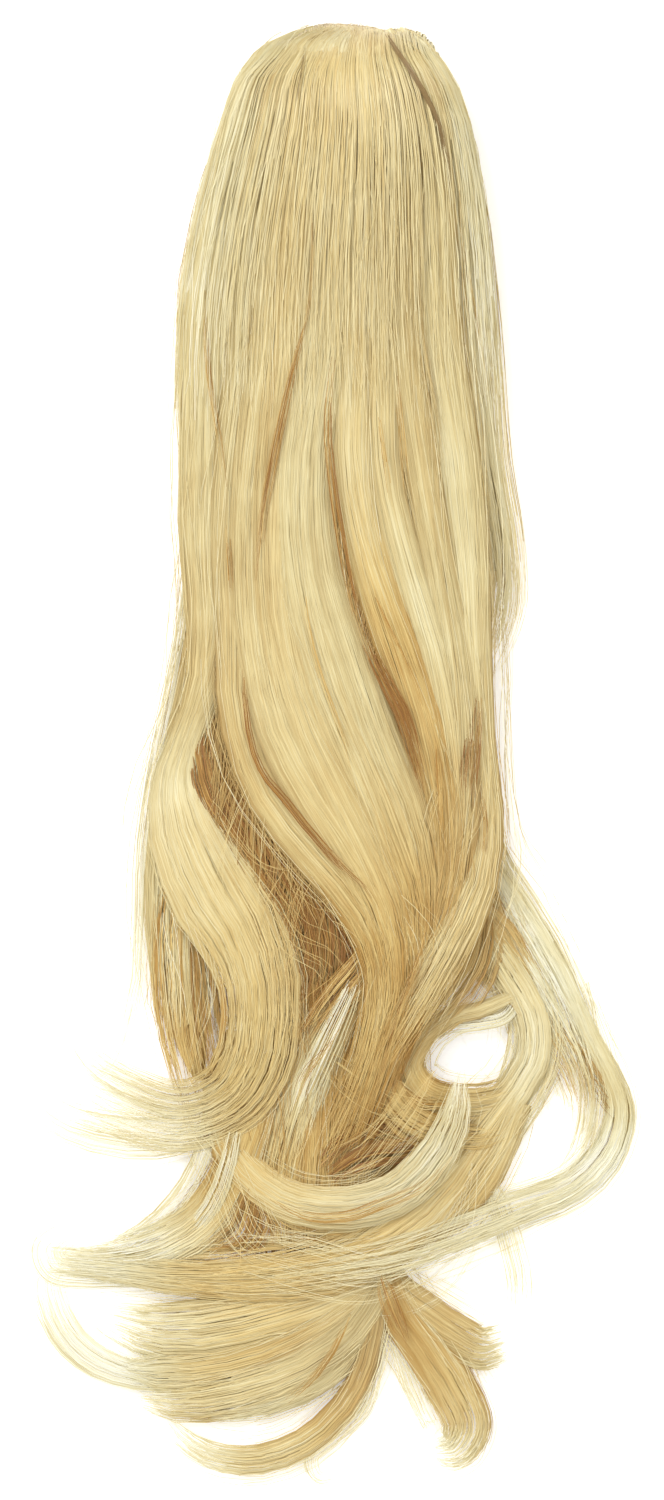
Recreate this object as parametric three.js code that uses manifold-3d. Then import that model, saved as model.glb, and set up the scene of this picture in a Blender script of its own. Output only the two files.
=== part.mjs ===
// A clip-on pigtail of long waved false hair, as it lies face up on a table.
// Two wefts of hair are sewn to a claw clip. The under weft leaves one jaw and lies on the table. The over
// weft leaves the other jaw, folds up over the clip and falls on the under weft. Both end in curls.
// Millimetres, +Z up. The hair falls towards -Y, and the origin is the middle of the floor that it covers.
import * as THREE from "three";
import { mergeVertices } from "three/addons/utils/BufferGeometryUtils.js";
import Module from "manifold-3d";

// Driving dimensions of the hair.
const TAIL_LENGTH = 500; // from the fold over the clip to the lowest curl
const HALF_SPREAD = 102; // from the middle line to the widest curl
const CROWN_HEIGHT = 46; // the top of the hair over the clip
const LOCK_THICKNESS = 8; // a full lock, lying flat
const ROOT_SPREAD = 0.9; // the share of the heap's width over which the locks leave the clip
const TIP_THICKNESS = 0.45; // a lock's thickness where it has hardly any width, as a share of its full one
const WEFT_GAP = 0.4; // between the two wefts
const UNDER_SETBACK = 1.5; // between the clip and the under weft's root
const EDGE_SPARE = 4; // how many times wider the gap is where a weft's edge meets the table

// Driving dimensions of the claw clip.
const CLIP_LENGTH = 52;
const CLIP_DEPTH = 30; // over both jaws
const CLIP_HEIGHT = 34;
const CLIP_WALL = 2.6;
const CLIP_MOUTH = 9; // between the two rows of teeth
const JAW_WIDEST = CLIP_HEIGHT * 0.42; // the height at which the jaws are widest
const CLIP_END_RADIUS = 16; // how far the jaws' upper corners are rounded
const CLIP_SETBACK = 32; // from the fold to the clip's middle
const CLIP_CLEARANCE = 0.4; // between the clip and the hair sewn round it
const TOOTH_SLOTS = 6;
const TOOTH_SLOT_WIDTH = 3.6;
const TOOTH_HEIGHT = 12;

// Fineness of the faceted solids.
const LOCK_SIDES = 6;
const DOME_POINTS = 9;
const JAW_SEGMENTS = 4;
const CORNER_SEGMENTS = 3;
const FACET_TOLERANCE = 0.2;
const BELOW_TABLE = 2; // how far under the table a cutting shape reaches
const SMALLEST_BODY = 50; // cubic millimetres

// The heap that the hair makes on the table, a row for each section across it.
// along: percent of TAIL_LENGTH; left and right: percent of HALF_SPREAD; height: percent of CROWN_HEIGHT.
const HEAP = [
  { along: 0.2, left: -9, right: 20, height: 36 },
  { along: 0.8, left: -19, right: 25, height: 56 },
  { along: 1.6, left: -28, right: 30, height: 72 },
  { along: 3, left: -34, right: 35, height: 88 },
  { along: 5, left: -38, right: 41, height: 97 },
  { along: 8, left: -43, right: 45, height: 100 },
  { along: 12, left: -49, right: 49, height: 94 },
  { along: 18, left: -56, right: 52, height: 84 },
  { along: 26, left: -58, right: 55, height: 75 },
  { along: 35, left: -56, right: 61, height: 67 },
  { along: 45, left: -60, right: 55, height: 61 },
  { along: 55, left: -68, right: 57, height: 58 },
  { along: 64, left: -68, right: 62, height: 53 },
  { along: 72, left: -62, right: 66, height: 47 },
  { along: 79, left: -54, right: 58, height: 42 },
  { along: 85, left: -60, right: 50, height: 34 },
  { along: 90, left: -60, right: 42, height: 25 },
  { along: 96, left: -45, right: 36, height: 13 },
  { along: 100, left: -30, right: 20, height: 4 },
];
const DOME_POWER = 2.6; // how square the heap's section is

// The solid middle of each weft: how much of the heap's width and height it fills at first and at its end,
// and where it starts, begins to thin and ends, in percent of TAIL_LENGTH. The under weft starts behind the
// clip.
const UNDER_START = ((CLIP_SETBACK + CLIP_DEPTH / 2 + UNDER_SETBACK) / TAIL_LENGTH) * 100;
const OVER_CORE = { width: [0.97, 0.95], height: [0.84, 0.3], start: 0.2, thin: 22, end: 57 };
const UNDER_CORE = { width: [0.72, 0.22], height: [0.44, 0.3], start: UNDER_START, thin: 52, end: 85 };

// Where a lock that starts at the clip is led by the heap's own fan, in percent of TAIL_LENGTH.
const FAN_STATIONS = [0.5, 2, 5, 11, 20];

// The locks, a row for each. lane: where it leaves the clip, from -1 at the left to 1 at the right, if it
// does. width: at the root, at its widest and at the tip, in percent of HALF_SPREAD. thick: share of
// LOCK_THICKNESS. level: share of the heap's height at the root and at the tip. route: its middle line, each
// point [percent of HALF_SPREAD, percent of TAIL_LENGTH].
const OVER_LOCKS = [
  { name: "left_sweep", lane: -0.78, width: [7, 30, 4], thick: 1.1, level: [1, 0.6],
    route: [[-47, 34], [-48, 42], [-54, 48], [-57, 52.5], [-52, 57], [-42, 60.5], [-32, 64], [-27, 68],
      [-30, 72], [-42, 74.6], [-62, 75.2], [-90, 72]] },
  { name: "long_s", lane: -0.56, width: [7, 17, 12], thick: 1.1, level: [1, 0.6],
    route: [[-37, 34], [-37, 42], [-35, 47.5], [-27, 52.5], [-13, 57], [2, 60.5], [12, 64], [14, 67.7],
      [9, 71.5], [1, 75], [-8, 78.5]] },
  { name: "sweep_edge", lane: -0.42, width: [7, 16, 8], thick: 1, level: [1.02, 0.75],
    route: [[-30, 34], [-29, 42], [-22, 48.5], [-11, 53], [2, 57.2], [12, 61], [18, 65], [19, 69]] },
  { name: "sweep_left", lane: -0.28, width: [7, 19, 8], thick: 1.1, level: [1.05, 0.75],
    route: [[-22, 34], [-21, 41], [-13, 47.5], [-2, 52.5], [10, 57.5], [19, 62], [21, 66.5]] },
  { name: "sweep_middle", lane: -0.14, width: [7, 19, 8], thick: 1.1, level: [1.05, 0.75],
    route: [[-16, 32], [-14, 39], [-6, 45.5], [5, 51], [16, 56.5], [24, 61.5], [23, 66]] },
  { name: "sweep_right", lane: -0.02, width: [7, 16, 7], thick: 1, level: [1.05, 0.75],
    route: [[-10, 30], [-8, 37.5], [2, 44], [12, 49.5], [22, 54.5], [28, 59.5], [26, 64.5]] },
  { name: "gold_band", lane: 0.14, width: [7, 15, 6], thick: 1, level: [1.03, 0.75],
    route: [[4, 31], [11, 38], [20, 43.5], [28, 48.5], [33, 53.5], [34, 58.5], [31, 63]] },
  { name: "right_fall_a", lane: 0.3, width: [7, 13, 6], thick: 1, level: [1, 0.75],
    route: [[14, 31], [22, 38], [31, 43.5], [37, 49], [39, 54.5], [37, 60], [32, 65]] },
  { name: "right_fall_b", lane: 0.46, width: [7, 13, 6], thick: 1, level: [1, 0.8],
    route: [[27, 31], [34, 38], [40, 44], [44, 50], [45, 56], [40, 61.5], [32, 66]] },
  { name: "right_turn", lane: 0.66, width: [7, 20, 9], thick: 1.1, level: [1, 0.6],
    route: [[40, 31], [45, 38], [47, 44.5], [49, 51], [50, 57], [44, 62], [34, 65.8], [24, 69.2],
      [16, 72.5]] },
  { name: "right_edge", lane: 0.86, width: [7, 15, 4], thick: 0.9, level: [0.95, 0.3],
    route: [[52, 30], [56, 35], [57, 39.5], [54, 44]] },
  { name: "up_curl", width: [9, 15, 2], thick: 0.9, level: [0.3, 1],
    route: [[-34, 69.5], [-41, 73.5], [-36, 78], [-20, 80.8], [0, 81.5], [18, 80.5], [31, 78], [38, 75],
      [40, 72]] },
  { name: "wide_band", width: [9, 22, 4], thick: 1, level: [0.5, 0.6],
    route: [[48, 57.5], [60, 64.5], [66, 69.5], [61, 73.6], [53, 77.2], [43, 80.6], [25, 83.4],
      [0, 85.3], [-28, 86.2], [-55, 86], [-78, 85.6], [-97, 85.2]] },
  { name: "low_left", width: [14, 20, 3], thick: 0.8, level: [0.5, 0.2],
    route: [[-25, 71], [-31, 76], [-38, 80], [-50, 82.8], [-68, 84.2], [-86, 84], [-99, 83.2]] },
];
const UNDER_LOCKS = [
  { name: "back_left", width: [12, 27, 12], thick: 1, level: [0.3, 0.3],
    route: [[-26, 13], [-38, 26], [-46, 40], [-54, 49], [-57, 57], [-56, 64], [-52, 69.5], [-45, 72.5]] },
  { name: "pale_veil", width: [12, 26, 5], thick: 0.7, level: [0.3, 0.1],
    route: [[22, 13], [33, 26], [41, 41], [46, 51], [53, 58], [63, 63], [71, 67.5], [77, 72], [79, 76],
      [75, 79.2]] },
  { name: "outer_loop", width: [11, 10, 8], thick: 0.7, level: [0.1, 0.3],
    route: [[62, 60.5], [73, 64], [82, 68.5], [91, 72], [96.5, 75.2], [93, 78.6], [80, 80.7], [62, 82],
      [42, 83.6], [18, 85.6]] },
  { name: "ring_curl", width: [12, 14, 8], thick: 0.8, level: [0.5, 0.3],
    route: [[48, 62], [38, 66], [27, 69], [20, 71.6], [25, 74.2], [40, 75.4], [54, 74.6], [63, 72.2],
      [66, 68.8], [60, 65]] },
  { name: "right_back_curl", width: [12, 16, 10], thick: 0.9, level: [0.4, 0.3],
    route: [[60, 71.5], [53, 75], [47, 78.5], [36, 81.5], [18, 83.6]] },
  { name: "pale_streak", width: [10, 17, 12], thick: 0.9, level: [0.6, 0.5],
    route: [[12, 64], [2, 67.3], [-7, 70.5], [-13, 74], [-19, 78.5]] },
  { name: "fan_high", width: [14, 19, 3], thick: 0.9, level: [0.4, 0.2],
    route: [[16, 86], [-6, 87.6], [-28, 88.9], [-50, 89.6], [-68, 89.3], [-84, 88]] },
  { name: "fan_loop", width: [12, 18, 3], thick: 0.8, level: [0.4, 0.2],
    route: [[14, 86.4], [-5, 89.2], [-26, 91.3], [-48, 92.5], [-66, 92.8], [-82, 91.6], [-94, 89.3],
      [-99, 86.8]] },
  { name: "fan_middle", width: [12, 20, 4], thick: 0.9, level: [0.4, 0.2],
    route: [[14, 86.6], [2, 90.2], [-14, 92.6], [-36, 94], [-56, 94.4], [-72, 93.4]] },
  { name: "fan_low", width: [11, 18, 4], thick: 0.7, level: [0.4, 0.2],
    route: [[14, 86.8], [6, 90.8], [-6, 93.8], [-22, 95.6], [-40, 96], [-56, 95.4]] },
  { name: "bottom_curl", width: [9, 13, 3], thick: 0.8, level: [0.3, 0.2],
    route: [[14, 87], [10, 91.3], [2, 94.8], [-12, 97.4], [-28, 98.7], [-44, 98.6], [-58, 96.9]] },
  { name: "right_leg", width: [11, 17, 4], thick: 0.9, level: [0.3, 0.3],
    route: [[13, 85.5], [20, 89], [30, 91.8], [38, 94.4], [42, 96.6], [38, 98.2], [31, 98.4]] },
  { name: "right_flip", width: [9, 15, 6], thick: 0.8, level: [0.3, 0.2],
    route: [[14, 86], [26, 88], [40, 89.6], [50, 90.4], [57, 89.8]] },
];

const percent = (share, whole) => (share / 100) * whole;

// The heap's row at one place along it, worked out between the two rows beside it.
function heapAt(along) {
  const last = HEAP.length - 1;
  const next = HEAP.findIndex((row) => row.along >= along);
  if (next <= 0) return next === 0 ? HEAP[0] : HEAP[last];
  const [before, after] = [HEAP[next - 1], HEAP[next]];
  const share = (along - before.along) / (after.along - before.along);
  const mix = (key) => THREE.MathUtils.lerp(before[key], after[key], share);
  return { along, left: mix("left"), right: mix("right"), height: mix("height") };
}

const domeShare = (across) => Math.sqrt(Math.max(0, 1 - Math.abs(across) ** DOME_POWER));

// The height of the heap over a point of the table, in millimetres.
function heapHeight(across, along) {
  const row = heapAt(along);
  const share = (2 * across - row.left - row.right) / (row.right - row.left);
  return percent(row.height, CROWN_HEIGHT) * domeShare(THREE.MathUtils.clamp(share, -1, 1));
}

// A closed tube through rings of points, each ring with as many points as the others.
function loft(rings) {
  const size = rings[0].length;
  const points = rings.flat();
  const faces = [];
  for (let ring = 0; ring + 1 < rings.length; ring++) {
    for (let side = 0; side < size; side++) {
      const [a, b] = [ring * size + side, ring * size + ((side + 1) % size)];
      faces.push(a, b + size, b, a, a + size, b + size);
    }
  }
  const lastRing = (rings.length - 1) * size;
  for (let side = 1; side + 1 < size; side++) {
    faces.push(0, side, side + 1);
    faces.push(lastRing, lastRing + side + 1, lastRing + side);
  }
  const shape = new THREE.BufferGeometry();
  shape.setAttribute("position", new THREE.Float32BufferAttribute(points.flatMap((p) => p.toArray()), 3));
  return shape.setIndex(faces);
}

// The middle line of a lock: its own route, after the fan from the clip if it starts there.
function lockLine(lock) {
  const fanned = (along) => {
    const row = heapAt(along);
    return [THREE.MathUtils.lerp(row.left, row.right, (lock.lane * ROOT_SPREAD + 1) / 2), along];
  };
  const plan = lock.lane === undefined ? lock.route : [...FAN_STATIONS.map(fanned), ...lock.route];
  const spots = plan.map(([across, along], place) => {
    const level = THREE.MathUtils.lerp(lock.level[0], lock.level[1], place / (plan.length - 1));
    const rest = (LOCK_THICKNESS * lock.thick) / 2;
    const lift = Math.max(rest, level * heapHeight(across, along) - rest * level);
    return new THREE.Vector3(percent(across, HALF_SPREAD), -percent(along, TAIL_LENGTH), lift);
  });
  const curve = new THREE.CatmullRomCurve3(spots, false, "centripetal");
  // One ring a span where the hair falls straight from the clip, and two where it waves.
  const straight = plan.length - lock.route.length;
  const stops = spots.flatMap((_, place) => (place < straight || place === spots.length - 1
    ? [place] : [place, place + 0.5])).map((place) => place / (spots.length - 1));
  return { curve, stops };
}

// One lock as a flattened tube that swells from its root to its belly and thins to its tip. grown widens it
// all round, to cut its place out of a neighbour. What would go below the table is pressed flat on it.
function lockShape(lock, grown = 0) {
  const { curve, stops } = lockLine(lock);
  const [root, belly, tip] = lock.width.map((share) => percent(share, HALF_SPREAD));
  const floor = grown > 0 ? -BELOW_TABLE : 0;
  const rings = [];
  for (const share of stops) {
    const ahead = curve.getTangent(share).setZ(0).normalize();
    const longer = share === 0 ? -grown : share === 1 ? grown : 0;
    const middle = curve.getPoint(share).addScaledVector(ahead, longer);
    const side = new THREE.Vector3(ahead.y, -ahead.x, 0);
    const swell = Math.sin(Math.PI * share ** 1.2) ** 0.6;
    const width = THREE.MathUtils.lerp(THREE.MathUtils.lerp(root, tip, share), belly, swell);
    const filled = THREE.MathUtils.lerp(TIP_THICKNESS, 1, Math.min(1, width / belly));
    const thick = LOCK_THICKNESS * lock.thick * filled;
    const ring = [];
    for (let corner = 0; corner < LOCK_SIDES; corner++) {
      const turn = (corner / LOCK_SIDES) * 2 * Math.PI;
      const point = middle.clone().addScaledVector(side, Math.cos(turn) * (width / 2 + grown));
      point.z = Math.max(floor, point.z + Math.sin(turn) * (thick / 2 + grown));
      ring.push(point);
    }
    rings.push(ring);
  }
  return loft(rings);
}

// The solid middle of a weft, flat on the table and domed above.
function coreShape(core, grown = 0) {
  const stations = HEAP.map((row) => row.along).filter((along) => along > core.start && along < core.end);
  const floor = grown > 0 ? -BELOW_TABLE : 0;
  const longer = (grown / TAIL_LENGTH) * 100;
  const rings = [core.start - longer, ...stations, core.end + longer].map((along) => {
    const row = heapAt(along);
    const thinned = THREE.MathUtils.smoothstep(along, core.thin, core.end);
    const rise = percent(row.height, CROWN_HEIGHT) * THREE.MathUtils.lerp(...core.height, thinned);
    const filled = THREE.MathUtils.lerp(...core.width, thinned);
    const half = (percent(row.right - row.left, HALF_SPREAD) * filled) / 2 + grown;
    const middle = percent((row.right + row.left) / 2, HALF_SPREAD);
    const y = -percent(along, TAIL_LENGTH);
    const ring = [];
    for (let point = 0; point < DOME_POINTS; point++) {
      const across = -Math.cos((point / (DOME_POINTS - 1)) * Math.PI);
      const height = Math.max(floor, rise * domeShare(across) + grown);
      const edge = point === 0 || point === DOME_POINTS - 1;
      const reach = edge ? half + EDGE_SPARE * grown : half;
      ring.push(new THREE.Vector3(middle + across * reach, y, edge ? floor : height));
    }
    return ring;
  });
  return loft(rings);
}

// The claw clip's outline in the plane across its jaws: from one row of teeth, over the back, to the other.
function jawOutline(inset) {
  const [half, top] = [CLIP_DEPTH / 2 - inset, CLIP_HEIGHT - inset];
  const outline = new THREE.Path();
  outline.moveTo(CLIP_MOUTH / 2, inset);
  outline.bezierCurveTo(half * 0.75, CLIP_HEIGHT * 0.06 + inset, half, CLIP_HEIGHT * 0.22, half, JAW_WIDEST);
  outline.bezierCurveTo(half, CLIP_HEIGHT * 0.66, half * 0.62, top, 0, top);
  const right = outline.getPoints(JAW_SEGMENTS);
  const left = right.slice(0, -1).reverse().map((p) => new THREE.Vector2(-p.x, p.y));
  return [...right, ...left];
}

// Turns an outline in the Y-Z plane into a solid that runs along X, centred on the clip's place.
function alongClip(outline, length) {
  const shape = new THREE.ExtrudeGeometry(new THREE.Shape(outline), { depth: length, bevelEnabled: false });
  shape.translate(0, 0, -length / 2);
  shape.applyMatrix4(new THREE.Matrix4().makeBasis(new THREE.Vector3(0, 1, 0), new THREE.Vector3(0, 0, 1),
    new THREE.Vector3(1, 0, 0)));
  return shape.translate(0, -CLIP_SETBACK, 0);
}

// The clip seen from the front: a plate with rounded upper corners, used to round the ends of the jaws.
function clipFront(grown) {
  const [half, top, low] = [CLIP_LENGTH / 2 + grown, CLIP_HEIGHT + grown, -BELOW_TABLE];
  const front = new THREE.Shape();
  front.moveTo(-half, low);
  front.lineTo(half, low);
  front.lineTo(half, top - CLIP_END_RADIUS);
  front.absarc(half - CLIP_END_RADIUS, top - CLIP_END_RADIUS, CLIP_END_RADIUS, 0, Math.PI / 2, false);
  front.absarc(-half + CLIP_END_RADIUS, top - CLIP_END_RADIUS, CLIP_END_RADIUS, Math.PI / 2, Math.PI, false);
  front.closePath();
  const cut = { depth: CLIP_DEPTH * 2, bevelEnabled: false, curveSegments: CORNER_SEGMENTS };
  const plate = new THREE.ExtrudeGeometry(front, cut).rotateX(Math.PI / 2);
  return plate.translate(0, CLIP_DEPTH - CLIP_SETBACK, 0);
}

const wasm = await Module();
wasm.setup();

// A closed geometry as a solid that can be joined and cut.
function solid(shape) {
  const bare = shape.clone();
  bare.deleteAttribute("normal");
  bare.deleteAttribute("uv");
  const merged = mergeVertices(bare, 1e-4);
  return new wasm.Manifold(new wasm.Mesh({
    numProp: 3,
    vertProperties: merged.attributes.position.array,
    triVerts: new Uint32Array(merged.index.array),
  }));
}

const joined = (solids) => solids.reduce((all, one) => all.add(one));

// Fills the pockets that crossing locks seal off, drops stray chips and evens out the smallest facets.
function tidied(made) {
  const kept = made.decompose().filter((body) => body.volume() > SMALLEST_BODY);
  return wasm.Manifold.compose(kept).simplify(FACET_TOLERANCE);
}

function geometryOf(made) {
  const { numProp, vertProperties, triVerts } = made.getMesh();
  const points = [];
  for (let at = 0; at < vertProperties.length; at += numProp) {
    points.push(...vertProperties.subarray(at, at + 3));
  }
  const shape = new THREE.BufferGeometry();
  shape.setAttribute("position", new THREE.Float32BufferAttribute(points, 3));
  shape.setIndex(new THREE.BufferAttribute(triVerts, 1));
  shape.computeVertexNormals();
  return shape;
}

// The clip: two curved jaws in one piece with the back that joins them, slotted into teeth along the mouth.
function clawClip() {
  const outline = [...jawOutline(0), ...jawOutline(CLIP_WALL).reverse()];
  let clip = solid(alongClip(outline, CLIP_LENGTH)).intersect(solid(clipFront(0)));
  const pitch = CLIP_LENGTH / (TOOTH_SLOTS + 1);
  for (let slot = 1; slot <= TOOTH_SLOTS; slot++) {
    const cutter = new THREE.BoxGeometry(TOOTH_SLOT_WIDTH, CLIP_DEPTH * 2, TOOTH_HEIGHT * 2);
    cutter.translate(-CLIP_LENGTH / 2 + slot * pitch, -CLIP_SETBACK, 0);
    clip = clip.subtract(solid(cutter));
  }
  return clip;
}

// The room that the hair leaves for the clip, straight down from the jaws' widest place.
function clipRoom() {
  const grown = CLIP_CLEARANCE;
  const upper = jawOutline(-grown).filter((p) => p.y > JAW_WIDEST - CLIP_CLEARANCE);
  const [first, last] = [upper[0], upper[upper.length - 1]];
  const low = -BELOW_TABLE;
  const outline = [new THREE.Vector2(last.x, low), new THREE.Vector2(first.x, low), ...upper];
  return solid(alongClip(outline, CLIP_LENGTH + 2 * grown)).intersect(solid(clipFront(grown)));
}

const weft = (core, locks, grown = 0) =>
  tidied(joined([coreShape(core, grown), ...locks.map((lock) => lockShape(lock, grown))].map(solid)));
const room = clipRoom();
const underWeft = tidied(weft(UNDER_CORE, UNDER_LOCKS).subtract(room));
const underPlace = weft(UNDER_CORE, UNDER_LOCKS, WEFT_GAP);
const overWeft = tidied(weft(OVER_CORE, OVER_LOCKS).subtract(underPlace).subtract(room)).subtract(underWeft);

const blonde = new THREE.MeshStandardMaterial({ color: 0xe3cd94, roughness: 0.42, metalness: 0 });
const honey = new THREE.MeshStandardMaterial({ color: 0xd2b478, roughness: 0.48, metalness: 0 });
const plastic = new THREE.MeshStandardMaterial({ color: 0xb88a4a, roughness: 0.3, metalness: 0 });

const pigtail = new THREE.Group();
pigtail.name = "pigtail";
for (const [name, made, material] of [
  ["over_weft", overWeft, blonde],
  ["under_weft", underWeft, honey],
  ["claw_clip", clawClip(), plastic],
]) {
  const mesh = new THREE.Mesh(geometryOf(made), material);
  mesh.name = name;
  pigtail.add(mesh);
}

// The origin is moved to the middle of the floor that the hair covers.
const covered = new THREE.Box3().setFromObject(pigtail).getCenter(new THREE.Vector3());
for (const mesh of pigtail.children) mesh.position.set(-covered.x, -covered.y, 0);

export default pigtail;
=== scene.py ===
# A clip-on pigtail of long waved blonde hair, lying face up on a pale table and seen from straight above.
# The hair is drawn as combed locks, with thousands of fine strands that follow the routes of the solids.
import math

import bpy
import numpy as np
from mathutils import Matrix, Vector


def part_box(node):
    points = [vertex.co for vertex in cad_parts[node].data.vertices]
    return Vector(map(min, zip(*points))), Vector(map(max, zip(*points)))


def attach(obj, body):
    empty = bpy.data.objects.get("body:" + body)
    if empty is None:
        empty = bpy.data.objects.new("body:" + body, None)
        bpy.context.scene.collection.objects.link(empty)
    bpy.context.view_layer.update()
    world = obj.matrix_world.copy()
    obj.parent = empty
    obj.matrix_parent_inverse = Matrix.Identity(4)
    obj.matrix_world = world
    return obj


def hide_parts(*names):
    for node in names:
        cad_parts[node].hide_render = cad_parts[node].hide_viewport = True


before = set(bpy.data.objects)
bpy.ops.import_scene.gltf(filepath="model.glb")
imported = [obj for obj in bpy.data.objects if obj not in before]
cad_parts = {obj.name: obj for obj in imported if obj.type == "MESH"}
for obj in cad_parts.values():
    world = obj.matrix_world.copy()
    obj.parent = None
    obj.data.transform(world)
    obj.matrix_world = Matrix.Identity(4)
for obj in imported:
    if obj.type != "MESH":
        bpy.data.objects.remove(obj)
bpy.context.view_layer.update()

# Sizes of the real hairpiece, in metres.
TAIL_LENGTH = 0.500
HALF_SPREAD = 0.102
CROWN_HEIGHT = 0.046
LOCK_THICKNESS = 0.008
TIP_THICKNESS = 0.45
ROOT_SPREAD = 0.9
CLIP_SETBACK = 0.032
ROOT_TAPER = 0.04
STRAND_HALF_WIDTH = 0.00014

# The clip's middle gives the hair's middle line and the fold.
clip_low, clip_high = (np.array(corner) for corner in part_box("claw_clip"))
MIDDLE_X = (clip_low[0] + clip_high[0]) / 2
FOLD_Y = (clip_low[1] + clip_high[1]) / 2 + CLIP_SETBACK

# The heap that the hair makes on the table, a row for each section across it.
# along: percent of TAIL_LENGTH; left and right: percent of HALF_SPREAD; height: percent of CROWN_HEIGHT.
HEAP = np.array([
    (0.2, -9, 20, 36),
    (0.8, -19, 25, 56),
    (1.6, -28, 30, 72),
    (3, -34, 35, 88),
    (5, -38, 41, 97),
    (8, -43, 45, 100),
    (12, -49, 49, 94),
    (18, -56, 52, 84),
    (26, -58, 55, 75),
    (35, -56, 61, 67),
    (45, -60, 55, 61),
    (55, -68, 57, 58),
    (64, -68, 62, 53),
    (72, -62, 66, 47),
    (79, -54, 58, 42),
    (85, -60, 50, 34),
    (90, -60, 42, 25),
    (96, -45, 36, 13),
    (100, -30, 20, 4),
])
DOME_POWER = 2.6

# The solid middle of each weft, with its shares of the heap at first and at its end. It runs from start to
# end and gets slimmer from thin on, all three in percent of TAIL_LENGTH.
CORES = {
    "over": dict(width=(0.92, 0.88), height=(0.84, 0.3), start=1.3, thin=22, end=57),
    "under": dict(width=(0.72, 0.22), height=(0.44, 0.3), start=9.7, thin=52, end=85),
}

# Where a lock that starts at the clip is led by the heap's own fan, in percent of TAIL_LENGTH.
FAN_STATIONS = (0.5, 2, 5, 11, 20)

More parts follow.
